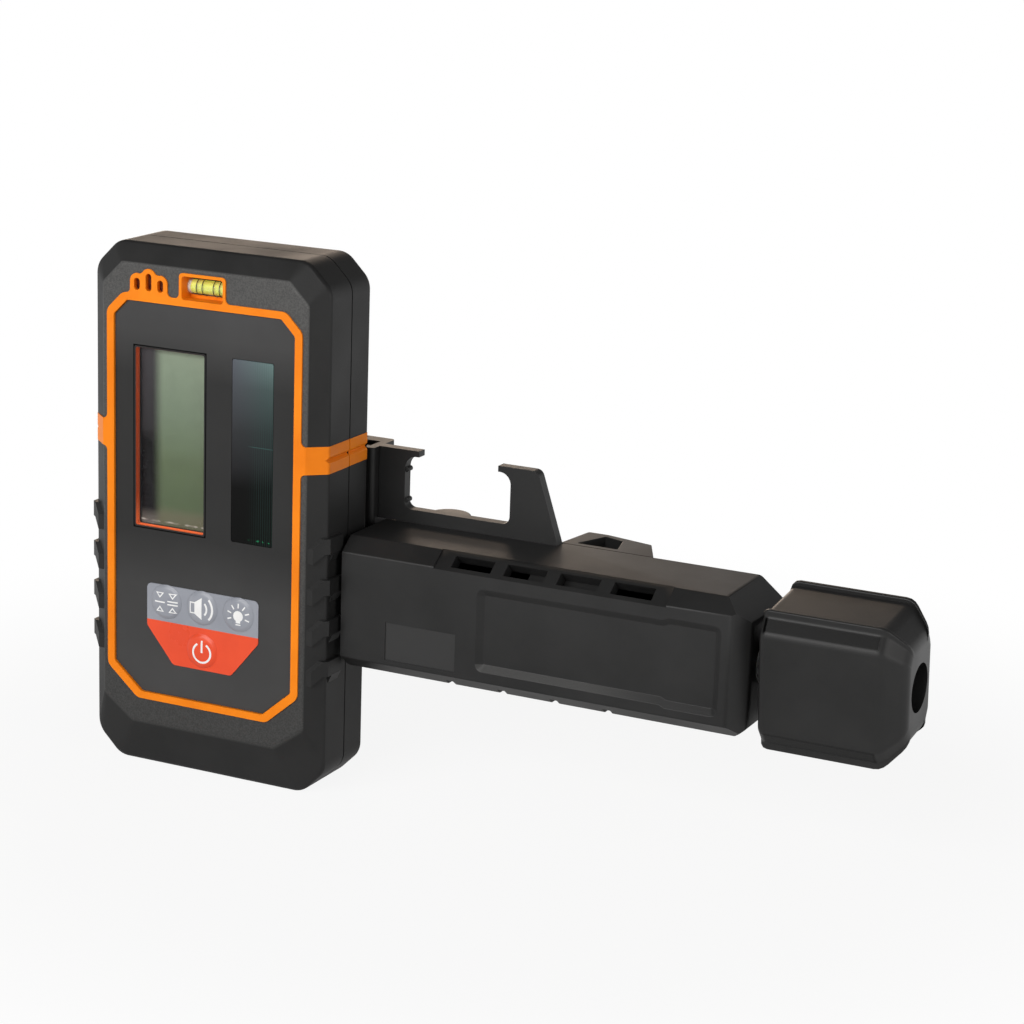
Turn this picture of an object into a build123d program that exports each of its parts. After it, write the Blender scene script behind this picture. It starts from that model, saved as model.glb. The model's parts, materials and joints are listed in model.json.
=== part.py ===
from build123d import *
import os

os.makedirs("parts", exist_ok=True)

# A laser receiver on its grade-rod clamp, in millimetres.
# The pieces are drawn with X = 0 on the receiver's middle, Y = 0 on its front face and
# Z = 0 under its base. They are saved about the clamp's seat on the rod (see datum).

# Fits and gaps
slide_gap = 0.3
running_gap = 0.05
press_gap = 0.02
panel_gap = 0.15
touch = 0.001

# Receiver case
case_width = 79.6
case_height = 160.0
case_depth = 31.6
case_wall = 2.2
front_wall = 2.9
corner_cut = 7.7
corner_round = 6.6
bevel_depth = 4.4
bevel_round = 1.5
face_round = 0.7
plateau_side = 5.3
plateau_low = 14.8
plateau_drop = 5.9
plateau_cut_high = 6.5
plateau_cut_low = (10.2, 7.3)
plateau_round = 1.6
parting_depth = 16.3
rear_edge_depth = 27.0
rear_inset = 4.6
seal_thick = 0.5
seal_width = 1.4
seal_recess = 0.5
bevel_share = 0.4
corner_share = 2 - 2 ** 0.5

# Orange trim: ring, side bands, sounder grille and vial housing
trim_proud = 0.5
band_proud = 0.1
trim_seat = 1.1
trim_side = 2.4
trim_end = 2.2
trim_blend = 1.5
band_height = 8.2
band_rise = 0.3
notch_depth = 0.9
grille_mid = -18.6
grille_pitch = 4.0
grille_slot = 2.0
grille_drop = 13.4
grille_side_rise = 3.6
grille_mid_rise = 5.2
grille_rim = 1.4
vial_mid = -0.35
vial_length = 13.6
vial_radius = 2.5
vial_wall = 0.45
vial_drop = 11.15
vial_set_back = 4.7
vial_plug = 0.9
vial_sill = 0.95
vial_sleeve = 0.6
vial_corner = 0.9
vial_rim = 0.9
bubble_length = 3.6
bubble_radius = 0.9

# Front panel, windows and keypad
panel_side = 3.8
panel_low = 23.9
panel_drop = 16.6
panel_cut_high = 4.6
panel_cut_low = (9.6, 8.3)
panel_round = 1.2
panel_recess = 0.3
panel_thick = 1.2
window_drop = 13.4
window_height = 54.8
display_left = -24.0
display_width = 24.5
sensor_left = 9.5
sensor_width = 14.0
pane_lip = 0.3
pane_round = 0.6
liner_wall = 0.45
display_border = 1.6
display_glass_thick = 1.8
sheet_thick = 0.3
sheet_width = 38.6
sheet_high = 58.4
sheet_border = 47.1
sheet_shoulder = 45.2
sheet_low = 34.0
sheet_low_width = 20.2
sheet_round = 1.6
key_radius = 5.0
key_dome = 0.8
key_body = 0.75
key_travel = 0.5
key_stem_radius = 2.0
key_side = 12.5
key_row = 53.3
power_row = 40.0

# Receiver inside
board_depth = 9.6
board_thick = 1.6
board_width = 56.0
post_radius = 2.7
post_low = 24.0
post_drop = 19.0
screw_radius = 1.25
screw_head_radius = 2.3
screw_head_thick = 1.6
screw_hole_radius = 1.5
board_post_inset = 4.0
switch_size = 6.0
switch_button_radius = 1.7
switch_button_rise = 0.8
switch_body = 2.6
sounder_radius = 4.6
sounder_thick = 3.2
diode_count = 8
diode_height = 5.2
diode_thick = 1.6
sensor_board_thick = 1.2
header_width = 5.0

# Batteries and their door
cell_radius = 7.2
cell_length = 49.2
cell_nub_radius = 2.7
cell_nub_length = 1.2
cell_gap = 0.35
tub_low = 6.4
tub_wall = 1.2
contact_thick = 0.5
contact_spring = 1.6
contact_size = 7.0
door_thick = 2.0
door_margin = 1.3
door_gap = 0.3
pin_radius = 0.75
pin_grip = 2.0
pull_width = 12.0
pull_height = 2.4

# Mount rail on the receiver's back and the tray that takes it
rail_low = 42.6
rail_height = 50.0
rail_neck_inset = 8.8
rail_head_inset = 3.6
rail_neck_depth = 4.0
rail_head_depth = 5.6
rail_screw_side = 20.0
rail_screw_rise = 10.0
rail_lead = 1.0
tray_wall = 2.6
tray_back = 4.9
tray_lip = 2.7
tray_floor = 3.1
tray_round = 1.6
tray_margin = 6.0
tray_sink = 1.5
tray_rib = 2.4
tray_rise = 8.3
tongue_reach = 7.5
tongue_inset = 6.0

# Clamp arm
arm_clear = 2.2
arm_length = 126.5
arm_taper = 8.0
arm_nose = 4.8
arm_end_round = 2.5
arm_front = 9.0
arm_depth = 30.4
arm_low = 39.0
arm_height = 40.0
arm_cut_depth = 5.4
arm_cut_height = 4.0
arm_wall = 3.0
arm_end_inset = 6.5
arm_low_taper = 4.0
arm_low_inset = 3.2
arm_round = 0.8
plate_thick = 3.6
slot_start = 35.0
slot_length = 12.5
slot_pitch = 16.6
slot_count = 4
slot_margin = 0.9
slot_dip = 0.4
drain_width = 2.4
drain_lead = 1.7
drain_back = 2.0
drain_rise = 2.4
dip_margin = 5.0
recess_start = 44.1
recess_length = 74.9
recess_drop = 6.3
recess_height = 26.2
recess_step_at = 57.4
recess_step_rise = 0.8
recess_slope = 2.0
recess_round = 2.2
recess_floor_round = 0.6
recess_depth = 1.4
label_start = 14.8
label_length = 22.8
label_rise = 5.5
label_height = 11.4
label_depth = 0.3

# Reading frame on top of the arm
frame_gap = 0.1
frame_strip = 4.0
frame_height = 22.0
frame_leg = 8.8
frame_tab = 4.6
frame_tab_thick = 1.8
tab_flat = 0.6
frame_window = 34.8
frame_hook_tab = 4.2
frame_hook_drop = 0.7
frame_hook_top_width = 8.6
frame_hook_foot = 15.8
frame_round = 2.4
rib_radius = 0.8

# Jaws and lead screw
jaw_depth = 16.0
fixed_jaw_start = 8.0
fixed_jaw_width = 13.3
fixed_jaw_rise = 0.7
jaw_gap = 34.4
jaw_base = 29.1
jaw_tip = 6.6
jaw_lean = 2.1
jaw_shoulder_depth = 12.6
jaw_shoulder = 23.8
jaw_foot_depth = 1.4
jaw_pocket = 2.4
jaw_pocket_lean = 2.2
jaw_round = 0.8
jaw_close = 22.0
jaw_open = 28.0
neck_width = 18.0
neck_height = 16.0
carriage_width = 22.0
screw_shaft_radius = 4.0
nut_radius = 7.0
nut_length = 14.0
bush_radius = 6.6
bush_length = 8.0
collar_radius = 8.0
collar_thick = 3.0
clip_thick = 1.0
clip_radius = 6.2

# Knob
knob_gap = 3.6
knob_body = 35.2
knob_taper = 6.1
knob_height = 41.6
knob_depth = 30.8
knob_rest = 6.0
knob_face = 29.0
knob_cove = 3.0
knob_cove_rise = 4.4
knob_bead = 1.6
knob_bead_rise = 1.3
knob_round = 0.5
knob_cove_round = 1.5
knob_face_round = 4.0
knob_end_height = 28.7
knob_end_depth = 19.6
knob_bore_radius = 7.0
knob_bore_depth = 13.0
knob_rim = 2.2
knob_rim_steps = 3
hub_radius = 9.0
shaft_grip = 18.0
knob_screw_radius = 2.0
knob_screw_head = 3.6
knob_screw_head_thick = 3.0
knob_screw_length = 10.0
washer_radius = 5.5
washer_thick = 1.0

# Grip ridges on the case sides
ridge_drop = 23.2
ridge_pitch = 12.4
ridge_height = 4.6
ridge_tail = 2.6
ridge_count = 4
ridge_proud = 1.2
ridge_back = 11.5
ridge_turn = 2.9
ridge_front = 0.6
ridge_slant = 2.9

# Places worked out from the sizes above
case_half = case_width / 2
plateau_half = case_half - plateau_side
plateau_high = case_height - plateau_drop
panel_half = plateau_half - panel_side
panel_high = case_height - panel_drop
window_high = panel_high - window_drop
window_low = window_high - window_height
reading_height = (window_low + window_high) / 2 + band_rise
grille_low = case_height - grille_drop
vial_height = case_height - vial_drop
ridge_top = reading_height - ridge_drop
seal_front = parting_depth - seal_thick / 2
seal_back = parting_depth + seal_thick / 2
panel_back = panel_recess + panel_thick
liner_back = front_wall
tub_high = tub_low + 2 * tub_wall + 4 * cell_radius + 3 * cell_gap
tub_half = cell_length / 2 + cell_nub_length + contact_spring + contact_thick + tub_wall
tub_back = case_depth - case_wall
cell_depth = tub_back - cell_gap - cell_radius
tub_front = cell_depth - cell_radius - cell_gap - tub_wall
post_side = tub_half + post_radius + slide_gap
post_high = case_height - post_drop
board_post_side = board_width / 2 - board_post_inset
board_post_low = window_low - display_border - post_radius - slide_gap
board_post_high = window_high + display_border + post_radius + slide_gap
board_high = board_post_high + post_radius
door_half = tub_half - door_margin
door_low = tub_low + door_margin
door_high = tub_high - door_margin
door_front = case_depth - door_thick
pin_depth = case_depth - door_thick / 2
pin_height = door_low + door_thick / 2
rail_neck_half = case_half - rail_neck_inset
rail_head_half = case_half - rail_head_inset
rail_back = case_depth + rail_neck_depth + rail_head_depth
tray_front = case_depth + rail_neck_depth - slide_gap - tray_lip
tray_plate_front = rail_back + slide_gap
tray_plate_back = tray_plate_front + tray_back
tray_inner = rail_head_half + slide_gap
tray_half = tray_inner + tray_wall
tray_top = rail_low + rail_height + tray_rise
arm_left = case_half + arm_clear
arm_right = arm_left + arm_length
arm_back = arm_front + arm_depth
arm_high = arm_low + arm_height
slot_first = arm_left + slot_start
recess_left = arm_left + recess_start
recess_right = recess_left + recess_length
recess_step = recess_left + recess_step_at
recess_low = arm_low + recess_drop
recess_high = recess_low + recess_height
label_left = arm_left + label_start
label_right = label_left + label_length
label_low = arm_low + label_rise
label_high = label_low + label_height
frame_left = tray_half + frame_gap
leg_right = frame_left + frame_leg
frame_top = arm_high + frame_height
strip_high = arm_high + frame_strip
frame_hook_left = leg_right + frame_window
frame_hook_tip = frame_hook_left - frame_hook_tab
frame_hook_top = frame_hook_left + frame_hook_top_width
frame_hook_right = frame_hook_left + frame_hook_foot
axis_depth = (arm_front + arm_back) / 2
axis_height = arm_low + arm_height / 2
plate_front = arm_back - plate_thick
fixed_jaw_left = arm_left + fixed_jaw_start
fixed_jaw_right = fixed_jaw_left + fixed_jaw_width
jaw_left = fixed_jaw_right + jaw_gap
carriage_mid = jaw_left + jaw_base / 2 - jaw_lean
jaw_face = arm_back + slide_gap
knob_left = arm_right + knob_gap
knob_right = knob_left + knob_body + knob_taper
shaft_left = arm_left + arm_wall / 2
shaft_right = knob_left + shaft_grip
seat_middle = fixed_jaw_right + jaw_gap / 2
datum = (seat_middle, arm_back, axis_height)


def save(shape, node):
    export_step(Pos(-datum[0], -datum[1], -datum[2]) * shape, f"parts/{node}.step")


def group(shapes):
    return Compound(children=list(shapes))


def polygon(points):
    return make_face(Polyline(*points, close=True))


def at_depth(sketch, depth):
    return Plane.XZ.offset(-depth) * sketch


def plate(sketch, front, back):
    # A front-view outline, given its thickness from front to back.
    return extrude(at_depth(sketch, front), amount=front - back)


def bar(sketch, left, right):
    # An end-view outline, drawn out along X.
    return extrude(Plane.YZ.offset(left) * sketch, amount=right - left)


def tower(sketch, low, high):
    # A top-view outline, raised along Z.
    return extrude(Plane.XY.offset(low) * sketch, amount=high - low)


def block(x, y, z):
    size = (x[1] - x[0], y[1] - y[0], z[1] - z[0])
    middle = ((x[0] + x[1]) / 2, (y[0] + y[1]) / 2, (z[0] + z[1]) / 2)
    return Pos(*middle) * Box(*size)


def rod_y(x, z, radius, front, back):
    return plate(Pos(x, z) * Circle(radius), front, back)


def rod_x(y, z, radius, left, right):
    return bar(Pos(y, z) * Circle(radius), left, right)


def screw_y(x, z, tip, seat, head_thick=screw_head_thick):
    # A screw along Y from its tip to the seat under its head; the head lies beyond the seat.
    beyond = seat + head_thick if seat > tip else seat - head_thick
    return rod_y(x, z, screw_radius, min(tip, seat), max(tip, seat)) + rod_y(
        x, z, screw_head_radius, min(seat, beyond), max(seat, beyond))


def cut_outline(half, low, high, cut_high, cut_low, rounding):
    # A rectangle with its four corners cut off and the new corners rounded.
    high_x, high_z = cut_high
    low_x, low_z = cut_low
    points = [
        (half, low + low_z),
        (half, high - high_z),
        (half - high_x, high),
        (high_x - half, high),
        (-half, high - high_z),
        (-half, low + low_z),
        (low_x - half, low),
        (half - low_x, low),
    ]
    sketch = polygon(points)
    return fillet(sketch.vertices(), rounding)


def side_outline(inset):
    cut = corner_cut - corner_share * inset
    rounding = corner_round - corner_share * inset
    return cut_outline(case_half - inset, inset, case_height - inset, (cut, cut), (cut, cut), rounding)


def plateau_outline(inset):
    shift = bevel_share * inset
    high = (plateau_cut_high, plateau_cut_high)
    return cut_outline(plateau_half - shift, plateau_low + shift, plateau_high - shift,
                       high, plateau_cut_low, plateau_round)


def back_outline(inset):
    shift = rear_inset + bevel_share * inset
    cut = corner_cut - corner_share * shift
    rounding = corner_round - corner_share * shift
    return cut_outline(case_half - shift, shift, case_height - shift, (cut, cut), (cut, cut), rounding)


def edges_at_depth(solid, depth):
    return [edge for edge in solid.edges()
            if abs(edge.start_point().Y - depth) < touch and abs(edge.end_point().Y - depth) < touch]


def front_block(inset, front_inset=None, soft=False):
    # The front half of the case as a full block, smaller all round by inset.
    face_depth = inset if front_inset is None else front_inset
    side_depth = bevel_depth + bevel_share * inset
    plateau = at_depth(plateau_outline(inset), face_depth)
    nose = loft([plateau, at_depth(side_outline(inset), side_depth)], ruled=True)
    solid = nose + plate(side_outline(inset), side_depth, seal_front)
    if soft:
        solid = fillet(edges_at_depth(solid, side_depth), bevel_round)
        solid = fillet(edges_at_depth(solid, face_depth), face_round)
    return solid


def rear_block(inset, soft=False):
    # The rear half of the case as a full block, smaller all round by inset.
    side_depth = rear_edge_depth - bevel_share * inset
    back = at_depth(back_outline(inset), case_depth - inset)
    tail = loft([at_depth(side_outline(inset), side_depth), back], ruled=True)
    solid = plate(side_outline(inset), seal_back, side_depth) + tail
    if soft:
        solid = fillet(edges_at_depth(solid, side_depth), bevel_round)
        solid = fillet(edges_at_depth(solid, case_depth - inset), bevel_round)
    return solid


def panel_outline(grow_side, grow_end):
    low = (panel_cut_low[0] + grow_side * bevel_share, panel_cut_low[1] + grow_end * bevel_share)
    high = panel_cut_high + grow_side * bevel_share
    return cut_outline(panel_half + grow_side, panel_low - grow_end, panel_high + grow_end,
                       (high, high), low, panel_round + grow_end)


def window_outline(left, width, inset):
    middle = (left + width / 2, (window_low + window_high) / 2)
    return Pos(*middle) * RectangleRounded(width - 2 * inset, window_height - 2 * inset, pane_round)


def grille_bar(index, rim):
    rise = grille_mid_rise if index == 0 else grille_side_rise
    width = grille_slot + 2 * rim
    low = grille_low - rim
    high = grille_low + rise + rim
    place = Pos(grille_mid + index * grille_pitch, (low + high) / 2)
    return place * SlotOverall(high - low, width, rotation=90)


def vial_window(rim):
    size = (vial_length + 2 * panel_gap + 2 * rim, 2 * (vial_radius + vial_sill + rim))
    return Pos(vial_mid, vial_height) * RectangleRounded(*size, vial_corner + rim * bevel_share)


def trim_outline():
    # The whole orange region in front view, its inner corners softened, less the panel.
    reach = case_half + 2 * trim_proud
    bands = Pos(0, reading_height) * Rectangle(2 * reach, band_height)
    region = panel_outline(trim_side, trim_end) + bands + vial_window(vial_rim)
    for index in (-1, 0, 1):
        region += grille_bar(index, grille_rim)
    region = offset(region, trim_blend)
    region = offset(region, -trim_blend)
    return region - panel_outline(0, 0)


def band_notch(side, front, back):
    reach = case_half + band_proud
    points = [
        (side * (reach - notch_depth), reading_height),
        (side * (reach + notch_depth), reading_height + 2 * notch_depth),
        (side * (reach + notch_depth), reading_height - 2 * notch_depth),
    ]
    return plate(polygon(points), front, back)


# Places of the keys: name, x, z
keys = [
    ("key_accuracy", -key_side, key_row),
    ("key_volume", 0.0, key_row),
    ("key_light", key_side, key_row),
    ("key_power", 0.0, power_row),
]
case_posts = [(side * post_side, height) for side in (-1, 1) for height in (post_low, post_high)]
board_posts = [(side * board_post_side, height) for side in (-1, 1)
               for height in (board_post_low, board_post_high)]


# Orange trim, and the seat that it leaves in the front case
trim_body = plate(trim_outline(), -2 * trim_proud, seal_front)
trim_body = trim_body & (front_block(-band_proud, -trim_proud, soft=True) - front_block(trim_seat))
trim_body += plate(vial_window(vial_sleeve), 0, vial_set_back + vial_sleeve)
vial_seat = rod_x(vial_set_back, vial_height, vial_radius + running_gap,
                  vial_mid - vial_length / 2 - panel_gap, vial_mid + vial_length / 2 + panel_gap)
front_openings = plate(vial_window(0), -2 * trim_proud, vial_set_back) + vial_seat
for bar_index in (-1, 0, 1):
    front_openings += plate(grille_bar(bar_index, 0), -2 * trim_proud, front_wall + trim_seat)
trim_ring = trim_body - front_openings
for side in (-1, 1):
    trim_ring -= band_notch(side, -2 * trim_proud, seal_front)
save(trim_ring, "trim_ring")


# Front case
def ridge(index, side):
    # A bar across the side and down the bevel, with a tail that tapers away below it.
    top = ridge_top - index * ridge_pitch
    low = top - ridge_height
    points = [
        (ridge_back, top),
        (ridge_turn, top),
        (ridge_front, top - ridge_slant),
        (ridge_front, low - ridge_slant),
        (ridge_turn, low),
        (ridge_back, low),
    ]
    inner = plateau_half - bevel_share * ridge_proud
    outer = case_half + 2 * ridge_proud
    left, right = sorted((side * inner, side * outer))
    whole = bar(polygon(points), left, right) & front_block(-ridge_proud)
    root = case_half - case_wall / 2
    tail = polygon([(side * root, low), (side * (case_half + ridge_proud), low),
                    (side * case_half, low - ridge_tail), (side * root, low - ridge_tail)])
    return whole + plate(tail, bevel_depth + bevel_round, ridge_back)


front_case = front_block(0, soft=True)
for ridge_index in range(ridge_count):
    front_case += ridge(ridge_index, -1)
    front_case += ridge(ridge_index, 1)
cradle_half = vial_length / 2 + case_wall
cradle_back = vial_set_back + vial_radius + case_wall / 2
cradle_rise = vial_radius + vial_sill + vial_sleeve + case_wall / 2
cavity = front_block(case_wall, front_wall)
cavity -= block((vial_mid - cradle_half, vial_mid + cradle_half), (0, cradle_back),
                (vial_height - cradle_rise, vial_height + cradle_rise))
for post_x, post_z in case_posts:
    cavity -= rod_y(post_x, post_z, post_radius, 0, seal_front)
for post_x, post_z in board_posts:
    cavity -= rod_y(post_x, post_z, post_radius, 0, board_depth)
front_case -= cavity
front_case -= trim_body
front_case -= plate(panel_outline(0, 0), -trim_proud, panel_back)
front_case -= front_openings
front_case -= plate(window_outline(display_left, display_width, 0), 0, front_wall + trim_seat)
front_case -= plate(window_outline(sensor_left, sensor_width, pane_lip), 0, front_wall + trim_seat)
for key_name, key_x, key_z in keys:
    front_case -= rod_y(key_x, key_z, key_stem_radius + slide_gap, 0, front_wall + trim_seat)
for post_x, post_z in case_posts:
    front_case -= rod_y(post_x, post_z, screw_radius + press_gap, board_depth, seal_front)
for post_x, post_z in board_posts:
    front_case -= rod_y(post_x, post_z, screw_radius + press_gap, front_wall + trim_seat, board_depth)
save(front_case, "front_case")


# Front panel, panes, liner and display
front_panel = plate(panel_outline(-panel_gap, -panel_gap), panel_recess, panel_back)
front_panel -= plate(window_outline(display_left, display_width, 0), 0, panel_back)
front_panel -= plate(window_outline(sensor_left, sensor_width, 0), 0, panel_back)
for key_name, key_x, key_z in keys:
    front_panel -= rod_y(key_x, key_z, key_radius + slide_gap, 0, panel_back)
save(front_panel, "front_panel")
display_pane = window_outline(display_left, display_width, liner_wall + press_gap)
sensor_pane = window_outline(sensor_left, sensor_width, panel_gap)
save(plate(display_pane, panel_recess, panel_back), "display_window")
save(plate(sensor_pane, panel_recess, panel_back), "sensor_window")

liner = plate(window_outline(display_left, display_width, press_gap), panel_recess, liner_back)
liner -= plate(window_outline(display_left, display_width, liner_wall), panel_recess, panel_back)
liner -= plate(window_outline(display_left, display_width, liner_wall + pane_lip), panel_back, liner_back)
save(liner, "display_frame")
glass_back = liner_back + display_glass_thick
display_sheet = window_outline(display_left, display_width, -display_border)
save(plate(display_sheet, liner_back, glass_back), "display_glass")
save(plate(display_sheet, glass_back, board_depth), "backlight")


# Laser sensor behind its pane: a column of photodiodes on a small board
sensor_mid = sensor_left + sensor_width / 2
sensor_half = sensor_width / 2 - pane_lip
diode_pitch = window_height / diode_count
diodes = []
for diode_index in range(diode_count):
    diode_z = window_low + (diode_index + 0.5) * diode_pitch
    diodes.append(block((sensor_mid - sensor_half / 2, sensor_mid + sensor_half / 2),
                        (liner_back, liner_back + diode_thick),
                        (diode_z - diode_height / 2, diode_z + diode_height / 2)))
save(group(diodes), "photodiodes")
sensor_board_front = liner_back + diode_thick
sensor_board_back = sensor_board_front + sensor_board_thick
save(block((sensor_mid - sensor_half, sensor_mid + sensor_half), (sensor_board_front, sensor_board_back),
           (window_low, window_high)), "sensor_board")
save(block((sensor_mid - header_width / 2, sensor_mid + header_width / 2), (sensor_board_back, board_depth),
           (window_low + diode_pitch, window_high - diode_pitch)), "sensor_header")


# Main board, its screws, the key switches and the sounder
board_back = board_depth + board_thick
switch_front = board_depth - switch_body
main_board = block((-board_width / 2, board_width / 2), (board_depth, board_back),
                   (power_row - switch_size, board_high))
for post_x, post_z in board_posts:
    main_board -= rod_y(post_x, post_z, screw_hole_radius, board_depth, board_back)
save(main_board, "main_board")
save(group(screw_y(*place, front_wall + trim_seat, board_back) for place in board_posts), "board_screws")
switches = []
for key_name, key_x, key_z in keys:
    switch = block((key_x - switch_size / 2, key_x + switch_size / 2), (switch_front, board_depth),
                   (key_z - switch_size / 2, key_z + switch_size / 2))
    button = rod_y(key_x, key_z, switch_button_radius, switch_front - switch_button_rise, switch_front)
    switches.append(switch + button)
save(group(switches), "key_switches")
sounder = rod_y(grille_mid, grille_low, sounder_radius, front_wall, front_wall + sounder_thick)
save(sounder - plate(grille_bar(0, 0), front_wall, front_wall + sounder_thick / 2), "sounder")


# Keypad sheet in two colours, and its four domed keys
sheet_front = panel_recess - sheet_thick
sheet_half = sheet_width / 2
grey_sheet = polygon([(-sheet_half, sheet_border), (sheet_half, sheet_border),
                      (sheet_half, sheet_high), (-sheet_half, sheet_high)])
sheet_low_half = sheet_low_width / 2
red_sheet = polygon([(-sheet_half, sheet_border), (-sheet_half, sheet_shoulder), (-sheet_low_half, sheet_low),
                     (sheet_low_half, sheet_low), (sheet_half, sheet_shoulder), (sheet_half, sheet_border)])
for sheet, node in ((grey_sheet, "keypad_upper"), (red_sheet, "keypad_lower")):
    outer_corners = [v for v in sheet.vertices() if abs(v.Y - sheet_border) > touch]
    sheet_body = plate(fillet(outer_corners, sheet_round), sheet_front, panel_recess)
    for key_name, key_x, key_z in keys:
        sheet_body -= rod_y(key_x, key_z, key_radius + slide_gap, sheet_front, panel_recess)
    save(sheet_body, node)

stem_back = switch_front - switch_button_rise - key_travel - running_gap
for key_name, key_x, key_z in keys:
    dome_radius = (key_radius ** 2 + key_dome ** 2) / (2 * key_dome)
    cap = Pos(key_x, sheet_front - key_dome + dome_radius, key_z) * Sphere(dome_radius)
    cap = cap & rod_y(key_x, key_z, key_radius, sheet_front - 2 * key_dome, sheet_front)
    body = rod_y(key_x, key_z, key_radius, sheet_front, sheet_front + key_body)
    stem = rod_y(key_x, key_z, key_stem_radius, sheet_front, stem_back)
    save(cap + body + stem, key_name)


# Level vial: tube, end plugs and the fluid with its bubble
vial_left = vial_mid - vial_length / 2
vial_right = vial_mid + vial_length / 2
vial_inner = vial_radius - vial_wall
vial_tube = rod_x(vial_set_back, vial_height, vial_radius, vial_left, vial_right)
vial_tube -= rod_x(vial_set_back, vial_height, vial_inner, vial_left, vial_right)
save(vial_tube, "vial_tube")
plug_radius = vial_inner - press_gap
plug_left = rod_x(vial_set_back, vial_height, plug_radius, vial_left, vial_left + vial_plug)
plug_right = rod_x(vial_set_back, vial_height, plug_radius, vial_right - vial_plug, vial_right)
save(group([plug_left, plug_right]), "vial_plugs")
fluid = rod_x(vial_set_back, vial_height, plug_radius, vial_left + vial_plug, vial_right - vial_plug)
bubble_height = vial_height + plug_radius - bubble_radius / 2
bubble = rod_x(vial_set_back, bubble_height, bubble_radius,
               vial_mid - bubble_length / 2, vial_mid + bubble_length / 2)
save(fluid - bubble, "vial_fluid")


# Seal between the case halves
seal_outline = side_outline(seal_recess) - side_outline(seal_recess + seal_width)
save(plate(seal_outline, seal_front, seal_back), "case_seal")


# Rear case and its orange bands
band_half = case_half - 2 * trim_seat
band_low = reading_height - band_height / 2
band_high = reading_height + band_height / 2
reach = case_half + 2 * trim_proud
band_skin = rear_block(-band_proud) - rear_block(trim_seat)
band_box = block((-reach, -band_half), (seal_back, rear_edge_depth), (band_low, band_high))
band_box += block((band_half, reach), (seal_back, rear_edge_depth), (band_low, band_high))
rear_band_body = band_skin & band_box
rear_bands = rear_band_body
for side in (-1, 1):
    rear_bands -= band_notch(side, seal_back, rear_edge_depth)
save(rear_bands, "rear_bands")

rail_screws_at = [(side * rail_screw_side, rail_low + rise) for side in (-1, 1)
                  for rise in (rail_screw_rise, rail_height - rail_screw_rise)]
screw_seat = case_depth - screw_head_thick - 2 * slide_gap
rear_cavity = rear_block(case_wall)
for post_x, post_z in case_posts:
    rear_cavity -= rod_y(post_x, post_z, post_radius, seal_back, case_depth)
for post_x, post_z in rail_screws_at:
    rear_cavity -= rod_y(post_x, post_z, post_radius, tub_front, case_depth)
rear_case = rear_block(0, soft=True) - rear_cavity - rear_band_body
rear_case -= block((-door_half - door_gap, door_half + door_gap), (seal_back, case_depth),
                   (door_low - door_gap, door_high + door_gap))
pin_half = door_half + door_gap + pin_grip
rear_case -= rod_x(pin_depth, pin_height, pin_radius + press_gap, -pin_half, pin_half)
rear_case -= block((-pull_width / 2, pull_width / 2), (case_depth - door_thick / 2, case_depth),
                   (door_high, door_high + door_gap + pull_height))
for post_x, post_z in case_posts:
    rear_case -= rod_y(post_x, post_z, screw_hole_radius, seal_back, case_depth)
    rear_case -= rod_y(post_x, post_z, screw_head_radius + slide_gap, screw_seat, case_depth)
for post_x, post_z in rail_screws_at:
    rear_case -= rod_y(post_x, post_z, screw_radius + press_gap, tub_front, case_depth)
save(rear_case, "rear_case")
save(group(screw_y(*place, board_depth, screw_seat) for place in case_posts), "case_screws")


# Battery tub, cells, contacts, door and hinge pin
tub = block((-tub_half, tub_half), (tub_front, tub_back), (tub_low, tub_high))
tub -= block((tub_wall - tub_half, tub_half - tub_wall), (tub_front + tub_wall, tub_back),
             (tub_low + tub_wall, tub_high - tub_wall))
save(tub, "battery_tub")
cells = []
contacts = []
plate_x = tub_half - tub_wall - contact_thick
for cell_index, nub_side in ((0, -1), (1, 1)):
    cell_z = tub_low + tub_wall + cell_gap + cell_radius + cell_index * (2 * cell_radius + cell_gap)
    cell = rod_x(cell_depth, cell_z, cell_radius, -cell_length / 2, cell_length / 2)
    nub_from, nub_to = sorted((nub_side * cell_length / 2, nub_side * (cell_length / 2 + cell_nub_length)))
    cells.append(cell + rod_x(cell_depth, cell_z, cell_nub_radius, nub_from, nub_to))
    for side in (-1, 1):
        cell_end = cell_length / 2 + (cell_nub_length if side == nub_side else 0)
        near, far = sorted((side * plate_x, side * (plate_x + contact_thick)))
        tip, root = sorted((side * cell_end, side * plate_x))
        half = contact_size / 2
        leaf = block((near, far), (cell_depth - half, cell_depth + half), (cell_z - half, cell_z + half))
        contacts.append(leaf + rod_x(cell_depth, cell_z, cell_nub_radius, tip, root))
save(group(cells), "battery_cells")
save(group(contacts), "battery_contacts")

door = block((-door_half, door_half), (door_front, case_depth), (pin_height, door_high))
door += rod_x(pin_depth, pin_height, door_thick / 2, -door_half, door_half)
door -= rod_x(pin_depth, pin_height, pin_radius + running_gap, -door_half, door_half)
save(door, "battery_door")
save(rod_x(pin_depth, pin_height, pin_radius, -pin_half, pin_half), "door_pin")


# Mount rail screwed to the rear case, and its tray on the clamp
rail_neck_back = case_depth + rail_neck_depth
rail_high = rail_low + rail_height
rail = block((-rail_neck_half, rail_neck_half), (case_depth, rail_neck_back), (rail_low, rail_high))
rail += block((-rail_head_half, rail_head_half), (rail_neck_back, rail_back), (rail_low, rail_high))
rail = chamfer(rail.edges().group_by(Axis.Z)[0], rail_lead)
rail_screw_seat = rail_back - screw_head_thick - slide_gap
for post_x, post_z in rail_screws_at:
    rail -= rod_y(post_x, post_z, screw_hole_radius, case_depth, rail_back)
    rail -= rod_y(post_x, post_z, screw_head_radius + slide_gap, rail_screw_seat, rail_back)
save(rail, "mount_rail")
save(group(screw_y(*place, tub_front + tub_wall, rail_screw_seat) for place in rail_screws_at), "rail_screws")

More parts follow.
